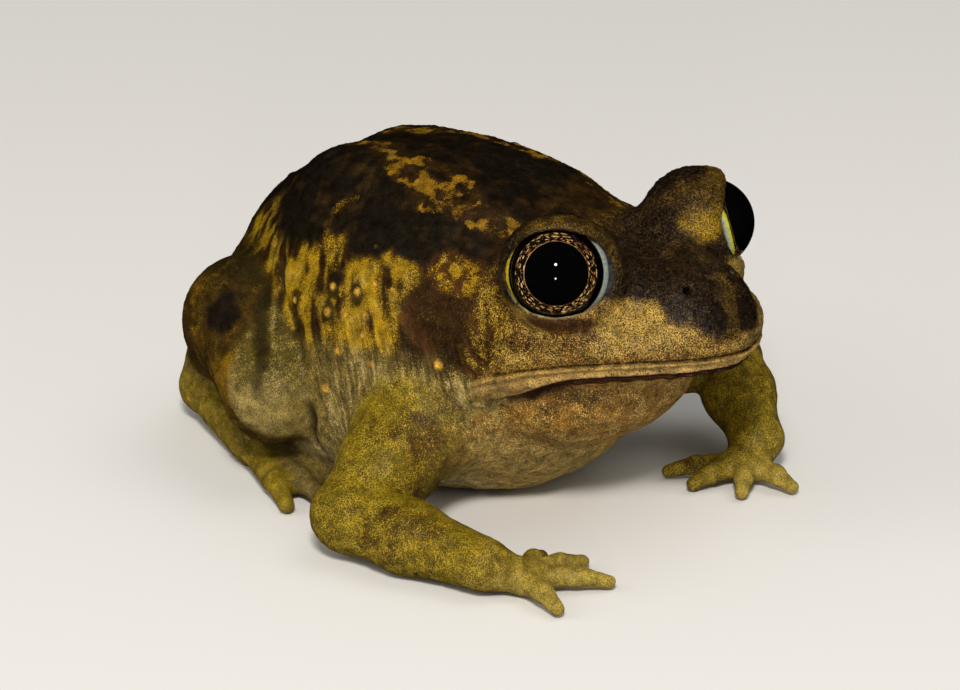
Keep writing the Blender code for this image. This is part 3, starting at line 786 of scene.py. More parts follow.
def markings(p, normal, part):
    """The skin's colours at each point, with painted shade in its creases and folds."""
    x, y, z = (p / MM).T
    q = folded(p)
    patchy, small, tiny = layered(p, 3.0 * MM, 20), layered(p, 1.1 * MM, 40), layered(p, 0.5 * MM, 60, 2)
    coat = Coat(len(p))
    # Back, with its two broken stripes
    coat.lay(ramp(patchy + 0.5 * small, 0.0, 0.9), BACK_WARM, share=0.14)
    blots = 0.42 + 0.75 * layered(p, 0.62 * MM, 70, 2)
    line = stroke(q, DORSAL_STRIPE, 0.6 * MM, 9) + 0.55 * small + 0.25 * tiny
    coat.lay(ramp(line, 1.25, 0.5), BACK_WARM, BACK_GOLD, blots)
    line = stroke(q, STRIPE_BRANCH, 0.5 * MM, 19) + 0.5 * small
    coat.lay(ramp(line, 0.6, 0.2), BACK_WARM, BACK_GOLD, blots)
    # Flank: gold network on brown, then olive, then pale
    edge = 16.6 + 1.1 * patchy + 0.4 * small + 0.8 * ramp(x, -7.0, -3.0)
    flank = ramp(z, edge + 0.7, edge - 0.7) * ramp(np.abs(y), 4.0, 7.0)
    coat.lay(flank, FLANK_BROWN, FLANK_GOLD, 0.2)
    streaks = layered(drawn_out(q, (-0.4, 0.25, 0.9), 4.0), 0.62 * MM, 80, 2)
    golden = flank * ramp(x + 0.8 * patchy, 3.9, 2.0) * ramp(z, 9.6, 11.4)
    coat.lay(golden * ramp(streaks + 0.4 * patchy, -0.5, 0.2), FLANK_OCHRE)
    coat.lay(golden, None, FLANK_GOLD, 0.50 + 0.6 * streaks + 0.3 * patchy, 0.6)
    low = ramp(z + 0.9 * patchy + 0.5 * streaks - 0.25 * np.clip(x, -6.0, 0.0), 12.6, 10.4)
    coat.lay(low, FLANK_OLIVE, FLANK_PALE, 0.42 + 0.45 * streaks)
    fan = layered(drawn_out(q, (0.45, -0.2, -0.87), 6.0), 0.42 * MM, 31, 2)
    coat.lay(ramp(z, 12.5, 10.5) * ramp(x, -4.0, 0.0), None, FLANK_PALE, 0.45 + 0.6 * fan)
    coat.lay(ramp(z, 14.5, 12.0) * ramp(x, -6.0, -2.0), lined=1.0)
    # Painted shade along the fold by the armpit
    coat.lay(ramp(stroke(q, AXILLA_FOLD, 0.3 * MM, 5), 0.8, 0.3) * 0.7, CHEEK_BROWN, share=0.1)
    coat.lay(ramp(z, 5.0, 1.5) * ramp(normal[:, 2], 0.1, -0.4), BELLY)
    line = stroke(q, FLANK_STREAK, 0.5 * MM, 13) + 0.45 * small
    coat.lay(ramp(line, 0.7, 0.1) * 0.8, FLANK_BROWN, FLANK_GOLD, 0.5)
    line = stroke(q, EAR_PATCH, 0.5 * MM, 17) + 0.5 * small + 0.3 * tiny
    coat.lay(ramp(line, 1.7, 0.5), CHEEK_BROWN, FLANK_GOLD, 0.5 + 0.5 * tiny)
    wart = wart_field(p)
    for centre in WARTS[RINGED_WARTS]:
        around = np.linalg.norm((q - centre) / MM * (1.0, 1.0, 0.7), axis=1) + 0.35 * small + 0.2 * tiny
        coat.lay(ramp(around, 0.85, 0.4) * 0.7, BACK, share=0.05)
    coat.lay(ramp(wart, 0.25, 0.7), ORANGE, share=0.1)
    for bead in EYE_BEADS:
        coat.lay(ramp(np.linalg.norm(q - bead, axis=1) / MM, 0.26, 0.12), LIP, share=0.2)
    # Arms and hands, with painted shade on the arms' lower and inner sides and in the armpits
    arm = ramp(part["arm"] + part["hand"], 0.25, 0.75)
    coat.lay(arm, ARM, ARM_GOLD, 0.46 + 0.2 * small, 1.0, 0.0)
    # Painted shade: darker where the arm faces forward, down and in towards the body
    facing_into_shade = normal[:, 0] - normal[:, 2] * 0.6 + normal[:, 1] * -0.35 * np.sign(y)
    coat.lay(arm * ramp(facing_into_shade + 0.25 * small, 0.35, 1.0) * ramp(z, 3.0, 5.0) * 0.3, ARM_BROWN, share=0.2)
    # Painted shade in the armpit, between arm and chest
    armpit = patch(p, (6.9, -12.7, 7.7), (1.5, 1.9, 2.3), 0.25 * small, 0.0)
    coat.lay(armpit * 0.8, ARM_BROWN, CHEST, 0.2)
    stained = arm * ramp(small + 0.7 * patchy + 0.3 * tiny, 0.1, 0.9)
    coat.lay(stained * 0.8, ARM_BROWN, ARM_GOLD, 0.25)
    blot = patch(p, (11.6, -18.1, 4.2), (4.2, 2.4, 1.3), 0.35 * small, 0.15, 0.6)
    coat.lay(arm * blot * 0.7, ARM_BROWN, share=0.3)
    coat.lay(part["hand"] * ramp(x, 14.0, 17.5) * 0.6, FINGER, FACE_GOLD, 0.3)
    coat.lay(part["hand"] * ramp(z, 2.4, 1.2) * ramp(x, 15.0, 17.5), FINGER, FACE_GOLD, 0.35)
    # Hindlegs, with painted shade along the creases of shank and thigh
    leg = ramp(part["thigh"] + part["shank"], 0.3, 0.7)
    coat.lay(leg, SHANK, SHANK_GOLD, 0.22 + 0.35 * small, 0.7, 0.0)
    gilt = patch(q, (-9.0, -15.3, 8.4), (2.6, 2.6, 2.2), 0.3 * small, 0.0, 0.6)
    coat.lay(leg * gilt, FLANK_OCHRE, SHANK_GOLD, 0.8)
    coat.lay(leg * ramp(z + 0.5 * patchy, 11.8, 13.6) * 0.85, HIP, KNEE, 0.25 + 0.3 * small)
    coat.lay(leg * patch(q, (-11.8, -13.0, 11.4), (2.0, 3.0, 2.0), 0.3 * small), SNOUT, share=0.04)
    crease = stroke(q, SHANK_CREASE, 0.2 * MM, 4)
    knee = ramp(x + 0.55 * (np.abs(y) - 12.0) + 0.75 * (z - 10.0), -8.6, -7.0) * leg
    coat.lay(knee, KNEE, KNEE_PALE, 0.36 + 0.3 * tiny)
    coat.lay(knee * ramp(z + 0.6 * small, 9.6, 6.6), KNEE_PALE, FLANK_PALE, 0.35)
    # Painted shade along the creases of shank and thigh
    coat.lay(ramp(crease, 0.8, 0.2) * leg * 0.85, HIP, share=0.0)
    coat.lay(ramp(stroke(q, THIGH_CREASE, 0.3 * MM, 2), 0.34, 0.08) * 0.9, HIP, share=0.0)
    foot = ramp(part["foot"], 0.3, 0.7)
    coat.lay(foot, FOOT, ARM_GOLD, 0.3 + 0.3 * small, 0.8, 0.0)
    inside = 11.7 + 0.4 * (x + 12.5) - np.abs(y) + 0.4 * small
    coat.lay(foot * ramp(inside, 0.9, 1.8) * 0.85, WEB, FLANK_PALE, 0.2)
    coat.lay(foot * ramp(patchy + 0.5 * small, 0.2, 0.8) * 0.4, ARM_BROWN, share=0.15)
    face_markings(coat, p, part, patchy, small)
    return coat


def streaks_of(q):
    """Streaks that run down and forward, from -1 to 1."""
    return layered(drawn_out(q, (-0.4, 0.25, 0.9), 4.0), 0.5 * MM, 80, 2)


def face_markings(coat, p, part, patchy, small):
    """Lays on the colours of the head, jaw and lids, with painted shade in the creases of the lips and round
    the eyes.
    """
    x, _, z = (p / MM).T
    q = folded(p)
    head = ramp(part["head"] + part["jaw"], 0.4, 0.8) * ramp(x + 0.5 * patchy, 6.0, 9.5)
    line = above_mouth(p)
    face = head * ramp(line, -0.2, 0.0)
    coat.lay(head, grit=1.5, lined=0.0)
    coat.lay(face, FACE, FACE_GOLD, 0.47 + 0.3 * small)
    coat.lay(face * patch(q, (18.2, -5.2, 16.2), (3.6, 3.6, 2.4), low=0.0), None, FACE_GOLD, 0.68)
    rear = ramp(x + 0.5 * patchy + 0.4 * small, 12.4, 9.6)
    coat.lay(face * rear * 0.8, FLANK_BROWN, FLANK_GOLD, 0.36 + 0.5 * streaks_of(q))
    for centre, radii, high, amount, tone, share in CHEEK_PATCHES:
        coat.lay(face * patch(q, centre, radii, 0.2 * small, high=high) * amount, tone, share=share)
    coat.lay(face * ramp(line + 0.25 * small, 0.85, 0.35) * 0.8, UPPER_LIP, FACE_GOLD, 0.35)
    # Dark crown, its edge lower on the snout
    edge = 17.7 + 0.5 * patchy + 0.3 * small - 0.55 * np.clip(x - 19.0, 0.0, 4.0)
    crown = head * ramp(z, edge - 0.35, edge + 0.35)
    coat.lay(crown, SNOUT, SPECK, 0.34)
    coat.lay(crown * ramp(small + 0.5 * patchy, 0.3, 0.9) * 0.8, BACK_WARM, SPECK, 0.4)
    band = stroke(p, SNOUT_BAND, 0.2 * MM, 3) + 0.25 * small
    coat.lay(face * ramp(band, 0.9, 0.2) * 0.6, LID, LID_GOLD, 0.5)
    tip = patch(p, (23.0, 0.8, 16.9), (1.8, 1.9, 1.7), low=0.0, high=0.4)
    coat.lay(face * tip * ramp(band, 0.3, 0.7), SNOUT, SPECK, 0.2)
    corners = patch(q, (22.4, -1.2, 16.6), (1.2, 1.4, 1.0), low=0.0, high=0.4)
    coat.lay(face * corners * ramp(band, 0.3, 0.6), SNOUT, SPECK, 0.15)
    # Lips, throat and chin, with painted shade in the crease under the lower lip
    jaw = head * ramp(line, 0.0, -0.2)
    crease = under_lip(p)
    coat.lay(jaw, LIP, FACE_GOLD, 0.50 - 0.35 * ramp(line, -0.4, -0.8))
    # Painted shade under the lower lip's overhang, and a painted dark line in the crease beneath it
    coat.lay(jaw * ramp(crease + 0.15 * small, 0.1, -0.15), THROAT_DARK_AND_SHADE, CHEEK_BROWN, 0.3)
    coat.lay(head * ramp(np.abs(crease), 0.26, 0.10), THROAT_DARK_AND_SHADE, share=0.0)
    below = part["jaw"] + part["torso"] * ramp(x, 4.0, 7.0)
    under = below * ramp(crease + 0.2 * small, -0.2, -0.8)
    coat.lay(under * ramp(x, 4.0, 7.0), THROAT, CHEST, 0.35 + 0.3 * small, 1.2, 0.6)
    coat.lay(under * ramp(patchy + 0.6 * small, 0.1, 0.8) * ramp(x, 6.0, 9.0) * 0.6, THROAT_DARK_AND_SHADE, share=0.2)
    coat.lay(part["torso"] * ramp(x, 4.0, 7.0) * ramp(z, 9.0, 6.0) * 0.8, CHEST, FLANK_PALE, 0.35)
    # Painted shade along the folds behind the mouth's corners
    for fold in CORNER_FOLDS[:2]:
        coat.lay(ramp(stroke(q, fold, 0.2 * MM, 7), 0.4, 0.15) * 0.7, THROAT_DARK_AND_SHADE, share=0.1)
    # Lids, with painted shade on the rim over each eye and in the gap round the eyeball
    for side in (-1, 1):
        ahead, front, up = [along / MM for along in eye_coordinates(p, side)]
        near = np.linalg.norm(p - eye_centre(side), axis=1) / MM
        edge = past_lids(front * MM, up * MM) / MM
        upper = ramp(near, 4.6, 3.9) * ramp(up + 0.3 * small, -0.9, 0.5)
        coat.lay(upper, LID, LID_GOLD, 0.36 + 0.25 * small)
        rim = ramp(near, 3.5, 3.3)
        # Painted shade on the rim over the eye, under the edge of the lid
        coat.lay(rim * ramp(up, -0.5, 1.5), SNOUT, share=0.0)
        pale = ramp(up, -0.6, -1.2) * ramp(edge, 0.16, 0.08) * ramp(ahead, 0.8, 1.2)
        coat.lay(rim * pale, LID_EDGE, share=0.0)
        # Painted shade in the gap between the lids and the eyeball, all round
        coat.lay(rim * ramp(near, 3.25, 3.15), SNOUT, share=0.0)
        around = ramp(near, 5.2, 4.2)
        coat.lay(around * ramp(up, -1.0, 1.0) * ramp(front, -1.5, -3.0), SNOUT, SPECK, 0.3)
        above = ramp(ahead, 1.2, 0.3) * ramp(up, 0.6, 2.0) * ramp(front + 0.5 * small, 2.0, 0.8)
        coat.lay(around * above, SNOUT, SPECK, 0.25)
        below = ramp(up, -2.75, -3.0) * ramp(up + 0.3 * small, -4.1, -3.7) * ramp(ahead, 0.0, 0.5)
        below *= ramp(np.abs(front - 0.3) + 0.4 * small, 2.5, 1.7)
        coat.lay(below * 0.9, UNDER_EYE, CHEEK_BROWN, 0.4)
        spot_at = np.sqrt((front - 2.5) ** 2 + (up + 2.3) ** 2 + (ahead - 0.9) ** 2)
        coat.lay(ramp(spot_at, 0.5, 0.25), PINK, share=0.0)
    gilt = patch(p, (15.7, 4.7, 20.0), (2.2, 2.6, 1.7), 0.3 * small, high=0.6)
    coat.lay(gilt * head, LID_GOLD, FLANK_GOLD, 0.55)
    coat.lay(ramp(np.linalg.norm(p - LID_WART, axis=1) / MM, 0.6, 0.3), SPECK, LID_EDGE, 0.5)


# Objects


def new_object(name, points, faces):
    mesh = bpy.data.meshes.new(name)
    mesh.from_pydata(np.asarray(points).tolist(), [], np.asarray(faces).tolist())
    mesh.shade_smooth()
    obj = bpy.data.objects.new(name, mesh)
    bpy.context.scene.collection.objects.link(obj)
    return obj


def divided(obj):
    """The object's mesh with every face split in four and smoothed."""
    split = obj.modifiers.new("Divide", "SUBSURF")
    split.levels = split.render_levels = 1
    evaluated = obj.evaluated_get(bpy.context.evaluated_depsgraph_get())
    mesh = bpy.data.meshes.new_from_object(evaluated)
    old = obj.data
    obj.modifiers.clear()
    obj.data = mesh
    bpy.data.meshes.remove(old)
    return mesh


def refined(mesh, low):
    """Splits the faces in front of and above the point low into four each."""
    work = bmesh.new()
    work.from_mesh(mesh)
    centres = np.empty(len(mesh.polygons) * 3)
    mesh.polygons.foreach_get("center", centres)
    chosen = np.all(centres.reshape(-1, 3)[:, [0, 2]] > low, axis=1)
    edges = {edge for face, wanted in zip(work.faces, chosen) if wanted for edge in face.edges}
    bmesh.ops.subdivide_edges(work, edges=list(edges), cuts=1, use_grid_fill=True)
    work.to_mesh(mesh)
    work.free()
    mesh.update()


def positions(mesh):
    p = np.empty(len(mesh.vertices) * 3)
    mesh.vertices.foreach_get("co", p)
    return p.reshape(-1, 3)


def normals(mesh):
    n = np.empty(len(mesh.vertices) * 3, np.float32)
    mesh.vertex_normals.foreach_get("vector", n)
    return n.reshape(-1, 3).astype(float)


def move_to(mesh, p):
    """Puts the mesh's points at p."""
    mesh.vertices.foreach_set("co", p.ravel())
    mesh.update()


def drawn_onto(mesh, field_of, rounds):
    """Moves a mesh's points along their normals onto the zero surface of a field."""
    reach = 0.02 * MM
    for _ in range(rounds):
        p, n = positions(mesh), normals(mesh)
        here = in_parts(field_of, p)
        slope = (in_parts(field_of, p + n * reach) - here) / reach
        step = np.clip(here / np.maximum(slope, 0.4), -0.15 * MM, 0.15 * MM)
        move_to(mesh, p - n * step[:, None])


def give_colours(mesh, name, rgb, alpha=None):
    """Stores a colour for each point, and a share in its alpha."""
    attribute = mesh.attributes.new(name, "FLOAT_COLOR", "POINT")
    alpha = np.ones(len(rgb)) if alpha is None else np.clip(alpha, 0.0, 1.0)
    colours = np.concatenate([np.clip(rgb, 0.0, 1.0), alpha[:, None]], axis=1)
    attribute.data.foreach_set("color", colours.ravel())


def node(tree, kind, inputs=None, **settings):
    """A shader node with its settings and inputs, each input a value or another node's output."""
    made = tree.nodes.new("ShaderNode" + kind)
    for key, value in settings.items():
        setattr(made, key, value)
    for key, value in (inputs or {}).items():
        if isinstance(value, bpy.types.NodeSocket):
            tree.links.new(value, made.inputs[key])
        else:
            made.inputs[key].default_value = value
    return made


def spread(tree, value, low, high, to_low, to_high, smooth=False):
    """Maps a value from one range to another."""
    kind = "SMOOTHSTEP" if smooth else "LINEAR"
    return node(tree, "MapRange", {"Value": value, "From Min": low, "From Max": high, "To Min": to_low,
                                   "To Max": to_high}, interpolation_type=kind).outputs[0]


def maths(tree, operation, *values):
    """The result of a Math node with the values given, each a number or another node's output."""
    return node(tree, "Math", dict(enumerate(values)), operation=operation).outputs[0]


def grain_noise(tree, place, scale, detail, roughness=0.5):
    inputs = {"Vector": place, "Scale": scale, "Detail": detail, "Roughness": roughness}
    return node(tree, "TexNoise", inputs).outputs["Fac"]


def bumped(tree, height, strength, distance, normal=None):
    """The normal that a height gives, laid over another normal."""
    inputs = {"Height": height, "Strength": strength, "Distance": distance}
    if normal:
        inputs["Normal"] = normal
    return node(tree, "Bump", inputs).outputs[0]


def new_material(name, **settings):
    material = bpy.data.materials.new(name)
    material.use_nodes = True
    shader = material.node_tree.nodes["Principled BSDF"]
    for key, value in settings.items():
        shader.inputs[key.replace("_", " ")].default_value = value
    return material, material.node_tree, shader


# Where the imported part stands, from the design's own frame
low_eye, high_eye = (np.array(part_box("eye_right")[0]), np.array(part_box("eye_left")[1]))
SHIFT = np.array([low_eye[0] + EYE_RADIUS - EYE_X, (low_eye[1] + high_eye[1]) / 2.0, 0.0])


def skin_material():
    material, tree, shader = new_material("spadefoot_skin", Specular_IOR_Level=0.25, Coat_Weight=0.10,
                                          Coat_Roughness=0.10)
    tone = node(tree, "Attribute", attribute_name="tone").outputs["Color"]
    fleck = node(tree, "Attribute", attribute_name="fleck")
    mouth = node(tree, "Attribute", attribute_name="mouth").outputs["Fac"]
    grit = node(tree, "Attribute", attribute_name="grit").outputs["Fac"]
    lined = node(tree, "Attribute", attribute_name="lined").outputs["Fac"]
    place = node(tree, "TexCoord").outputs["Object"]
    coarse = grain_noise(tree, place, 3200.0, 4.0, 0.62)
    grain = grain_noise(tree, place, 12000.0, 1.0, 0.6)
    lumps = maths(tree, "MULTIPLY_ADD", grain, 1.4, maths(tree, "MULTIPLY_ADD", coarse, 0.6, -1.0))
    covered = maths(tree, "ADD", fleck.outputs["Alpha"], maths(tree, "MULTIPLY", lumps, grit))
    bare, full = spread(tree, grit, 0.5, 1.3, 0.30, 0.42), spread(tree, grit, 0.5, 1.3, 0.74, 0.60)
    mask = spread(tree, covered, bare, full, 0.0, 1.0, smooth=True)
    colour = node(tree, "Mix", {0: mask, 6: tone, 7: fleck.outputs["Color"]}, data_type="RGBA").outputs[2]
    # Light and dark grain, black pepper on the face and arms, painted shade and light along the fine
    # wrinkles, and painted shade along the mouth line
    dots = spread(tree, grain_noise(tree, place, 9500.0, 1.0), 0.38, 0.45, -0.7, 0.0, smooth=True)
    peppered = maths(tree, "MULTIPLY_ADD", dots, spread(tree, grit, 0.7, 1.4, 0.0, 1.0), 1.0)
    wrinkle = wrinkles(tree, place)
    # The wrinkles' lines in the colour: partly the skin's own streaks, partly painted shade in their grooves
    # and painted light on their ridges
    wrinkle_shade = maths(tree, "MULTIPLY_ADD", spread(tree, wrinkle, 0.34, 0.66, -0.45, 0.35), lined, 1.0)
    # Painted shade in the slit of the mouth
    mouth_shade = spread(tree, mouth, 0.02, 0.11, 0.30, 1.0, smooth=True)
    grainy = spread(tree, grain, 0.34, 0.66, 0.50, 1.42)
    cloudy = spread(tree, grain_noise(tree, place, 1300.0, 3.0), 0.3, 0.7, 0.55, 1.35)
    for shade in (grainy, cloudy, peppered, wrinkle_shade, mouth_shade):
        colour = node(tree, "VectorMath", {0: colour, 1: shade}, operation="MULTIPLY").outputs[0]
    tree.links.new(colour, shader.inputs["Base Color"])
    pebble = node(tree, "TexVoronoi", {"Vector": place, "Scale": 3600.0}, feature="SMOOTH_F1")
    bump = bumped(tree, maths(tree, "MULTIPLY", pebble.outputs["Distance"], -1.0), 0.35, 0.12 * MM)
    bump = bumped(tree, maths(tree, "MULTIPLY", wrinkle, lined), 0.5, 0.12 * MM, bump)
    bump = bumped(tree, grain, 0.45, 0.06 * MM, bump)
    tree.links.new(bump, shader.inputs["Normal"])
    tree.links.new(bump, shader.inputs["Coat Normal"])
    tree.links.new(spread(tree, coarse, 0.3, 0.7, 0.36, 0.60), shader.inputs["Roughness"])
    return material


def wrinkles(tree, place):
    """Noise drawn out into fine lines that run down and forward on both flanks."""
    apart = node(tree, "SeparateXYZ", {0: place})
    width = node(tree, "Math", {0: apart.outputs[1]}, operation="ABSOLUTE").outputs[0]
    same = node(tree, "CombineXYZ", {0: apart.outputs[0], 1: width, 2: apart.outputs[2]}).outputs[0]
    down = np.array([0.45, 0.2, -0.87])
    one = np.cross(down, (0.0, 0.0, 1.0))
    one /= np.linalg.norm(one)
    lines = [node(tree, "VectorMath", {0: same, 1: tuple(axis)}, operation="DOT_PRODUCT").outputs["Value"]
             for axis in (one * 4300.0, np.cross(down, one) * 4300.0, down * 450.0)]
    stretched = node(tree, "CombineXYZ", {0: lines[0], 1: lines[1], 2: lines[2]}).outputs[0]
    return grain_noise(tree, stretched, 1.0, 2.0)


def make_skin():
    low, high = mm(-24.0, -22.0, -1.0), mm(26.0, 22.0, 25.0)
    points, quads = meshed(skin_field, low, high, SKIN_STEP)
    skin = new_object("skin", points, quads)
    mesh = divided(skin)
    drawn_onto(mesh, skin_field, 2)
    refined(mesh, HEAD_DETAIL_FROM)
    drawn_onto(mesh, skin_field, 1)
    p, n = positions(mesh), normals(mesh)
    parts = []
    for part in np.array_split(p, max(1, len(p) // 20000)):
        fields = own_fields(part)
        fields["least"] = np.minimum.reduce(list(fields.values()))
        parts.append(fields)
    own = {name: np.concatenate([part[name] for part in parts]) for name in parts[0]}
    share = weights(own)
    coat = markings(p, n, share)
    away = np.abs(above_mouth(p)) + ramp(p[:, 0], 10.1 * MM, 9.5 * MM)
    away += ramp(share["head"] + share["jaw"], 0.6, 0.3)
    for name, value in (("mouth", away), ("grit", coat.grit), ("lined", coat.lined)):
        mesh.attributes.new(name, "FLOAT", "POINT").data.foreach_set("value", value)
    move_to(mesh, p + n * relief(p, share)[:, None] + SHIFT)
    give_colours(mesh, "tone", coat.tone)
    give_colours(mesh, "fleck", coat.fleck, coat.share)
    mesh.materials.clear()
    mesh.materials.append(skin_material())
    mesh.shade_smooth()
    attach(skin, "root")
    flesh = ["torso", "head", "lower_jaw"]
    flesh += [part + "_" + name for name in SIDES for part in LIMB_PARTS]
    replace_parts(skin, *flesh)
    print("skin", len(mesh.polygons), "faces", len(mesh.vertices), "points")


# Eyes: a black ball with a gold ring of iris round a wide black pupil, under a clear cornea. A pale edge
# shows between ball and lids behind the eye, and stands up in its front corner.


def all_round():
    return np.arange(SEGMENTS) * 2.0 * math.pi / SEGMENTS


def turned_piece(name, profile, side, material):
    """Pairs of radius and ahead, in millimetres, turned round the eye's line of sight.

    Each may be one number, or one for each of the SEGMENTS all round.
    """
    look, along, across = eye_axes(side)
    turn = all_round()
    ring = np.outer(np.cos(turn), along) + np.outer(np.sin(turn), across)
    points, faces = [], []
    for radius, ahead in profile:
        radius, ahead = [np.broadcast_to(value, SEGMENTS)[:, None] * MM for value in (radius, ahead)]
        points.append(eye_centre(side) + ring * radius + look * ahead + SHIFT)
    for j in range(len(profile) - 1):
        for i in range(SEGMENTS):
            k = (i + 1) % SEGMENTS
            near, far = j * SEGMENTS, (j + 1) * SEGMENTS
            faces.append((near + i, near + k, far + k, far + i))
    piece = new_object(name, np.concatenate(points), faces)
    piece.data.materials.append(material)
    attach(piece, "root")
    return piece


def arc(width, height, start, end, count, ahead=0.0):
    """Points of an ellipse about the line of sight, from start to end degrees off it."""
    angles = np.radians(np.linspace(start, end, count))
    return [(width * math.sin(a), height * math.cos(a) + ahead) for a in angles]


def black_material(name, **settings):
    return new_material(name, Base_Color=(0.001, 0.001, 0.001, 1.0), **settings)[0]


def iris_material():
    """Gold worms of colour that run round the black ring, and a thin gold line at the pupil."""
    iris, tree, shader = new_material("eye_iris", Roughness=0.6, Specular_IOR_Level=0.0)
    weave = node(tree, "Attribute", attribute_name="weave").outputs["Vector"]
    out = node(tree, "Attribute", attribute_name="out").outputs["Fac"]
    shake = node(tree, "TexNoise", {"Vector": weave, "Scale": 1.3, "Detail": 2.0}).outputs["Color"]
    moved = node(tree, "VectorMath", {0: shake, 1: (0.9, 0.9, 0.9), 2: weave}, operation="MULTIPLY_ADD")
    inputs = {"Vector": moved.outputs[0], "Scale": 1.0}
    gaps = node(tree, "TexVoronoi", inputs, feature="DISTANCE_TO_EDGE").outputs["Distance"]
    worm = spread(tree, gaps, 0.17, 0.30, 0.0, 1.0, smooth=True)
    fade = spread(tree, out, 0.84, 1.0, 1.0, 0.0, smooth=True)
    edge_line = spread(tree, out, 0.03, 0.11, 0.8, 0.0, smooth=True)
    glow = maths(tree, "MAXIMUM", maths(tree, "MULTIPLY", worm, fade), edge_line)
    gold = node(tree, "ValToRGB", {"Fac": grain_noise(tree, weave, 0.45, 3.0)})
    gold.color_ramp.elements[0].position = 0.38
    gold.color_ramp.elements[0].color = (0.20, 0.065, 0.026, 1.0)
    gold.color_ramp.elements[1].position = 0.62
    gold.color_ramp.elements[1].color = (0.66, 0.41, 0.14, 1.0)
    black = (0.004, 0.003, 0.002, 1.0)
    tinted = node(tree, "Mix", {0: glow, 6: black, 7: gold.outputs[0]}, data_type="RGBA")
    tree.links.new(tinted.outputs[2], shader.inputs["Base Color"])
    return iris


def cornea_material():
    """Clear, and bending light as a cornea does. Light for the shadows goes straight through."""
    clear, tree, shader = new_material("eye_cornea", Base_Color=(1.0, 1.0, 1.0, 1.0), Roughness=0.0,
                                       IOR=CORNEA_IOR, Transmission_Weight=1.0)
    through = node(tree, "BsdfTransparent")
    shadow = node(tree, "LightPath").outputs["Is Shadow Ray"]
    mixed = node(tree, "MixShader", {0: shadow, 1: shader.outputs[0], 2: through.outputs[0]})
    tree.links.new(mixed.outputs[0], tree.nodes["Material Output"].inputs["Surface"])
    return clear


def white_material():
    white, tree, shader = new_material("eye_white", Roughness=0.25)
    tone = node(tree, "Attribute", attribute_name="tone").outputs["Color"]
    place = node(tree, "TexCoord").outputs["Object"]
    shade = spread(tree, grain_noise(tree, place, 5000.0, 3.0), 0.35, 0.65, 0.75, 1.2)
    veined = node(tree, "VectorMath", {0: tone, 1: shade}, operation="MULTIPLY").outputs[0]
    tree.links.new(veined, shader.inputs["Base Color"])
    return white


def white_tones(p, side):
    """Yellow behind the iris, grey white in front of it, and a dark membrane in the front corner."""
    _, front, up = [along / MM for along in eye_coordinates(p, side)]
    radius = np.hypot(front, up)
    yellow, grey, lemon = (0.44, 0.32, 0.008), (0.30, 0.33, 0.29), (0.46, 0.46, 0.02)
    colour = np.tile(np.array(yellow), (len(p), 1))
    inner = lemon if side > 0 else grey
    facing = ramp(front, -0.5, 0.5)[:, None]
    colour += (np.array(inner) - colour) * facing
    colour += (np.array(grey) - colour) * facing * ramp(radius, 3.14, 3.26)[:, None]
    colour *= ramp(radius, 3.045, 3.075)[:, None]
    dark = np.array((0.035, 0.035, 0.035)) * (1.0 + 0.8 * noise(p, 0.15 * MM, 77))[:, None]
    return colour + (dark - colour) * facing * ramp(radius, 3.31, 3.39)[:, None]


def flange_profile(side):
    """The pale edge round the ball. It stands highest in the front corner."""
    corner = ramp(-side * np.cos(all_round()), 0.55, 0.97)
    crest = 0.78 + 0.62 * corner
    edge = 3.24 + 0.16 * corner
    foot = 0.62 + 0.26 * corner
    profile = [(3.02, crest - 0.5), (3.025, crest - 0.05), (3.04, crest), (3.07, crest - 0.03)]
    for t in (0.3, 0.6, 0.85):
        profile.append((3.07 + (edge - 3.07) * t, crest - 0.03 + (foot + 0.03 - crest) * t))
    profile += [(edge, foot), (edge + 0.07 * corner, foot - 0.05), (3.36 + 0.44 * corner, foot - 0.12)]
    return profile


def make_eyes():
    iris, clear, white = iris_material(), cornea_material(), white_material()
    inside = black_material("eye_black", Roughness=0.6, Specular_IOR_Level=0.0)
    outside = black_material("eye_pupil", Roughness=0.0, IOR=CORNEA_IOR)
    width, height = CORNEA
    brink = math.degrees(math.asin(PUPIL / width))
    for name, side in SIDES.items():
        profile = arc(3.0, 3.0, 179.9, 80.6, 40) + [(IRIS[1], IRIS_AHEAD[1])]
        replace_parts(turned_piece("eyeball_" + name, profile, side, inside), "eye_" + name)
        steps = np.linspace(0.0, 1.0, 9)
        profile = [(IRIS[1] * (1.0 - t) + IRIS[0] * t, IRIS_AHEAD[1] * (1.0 - t) + IRIS_AHEAD[0] * t)
                   for t in steps]
        ring = turned_piece("iris_" + name, profile, side, iris)
        out = np.repeat(1.0 - steps, SEGMENTS)
        turn = np.tile(all_round(), len(steps))
        weave = np.stack([5.0 * np.cos(turn), 5.0 * np.sin(turn), 6.0 * out], axis=1)
        ring.data.attributes.new("weave", "FLOAT_VECTOR", "POINT").data.foreach_set("vector", weave.ravel())
        ring.data.attributes.new("out", "FLOAT", "POINT").data.foreach_set("value", out)
        # The pupil fills the middle of the cornea. Its light falls on the iris as if it were clear.
        top = height * math.cos(math.radians(brink))
        profile = [(IRIS[0], IRIS_AHEAD[0] - 0.04), (PUPIL - 0.01, top - 0.01)]
        wall = turned_piece("pupil_wall_" + name, profile, side, inside)
        pupil = turned_piece("pupil_" + name, arc(width, height, brink, 0.1, 20), side, outside)
        wall.visible_shadow = pupil.visible_shadow = False
        turned_piece("cornea_" + name, [(2.88, 0.60)] + arc(width, height, 78.6, brink, 20), side, clear)
        flange = turned_piece("sclera_" + name, flange_profile(side), side, white)
        give_colours(flange.data, "tone", white_tones(positions(flange.data) - SHIFT, side))


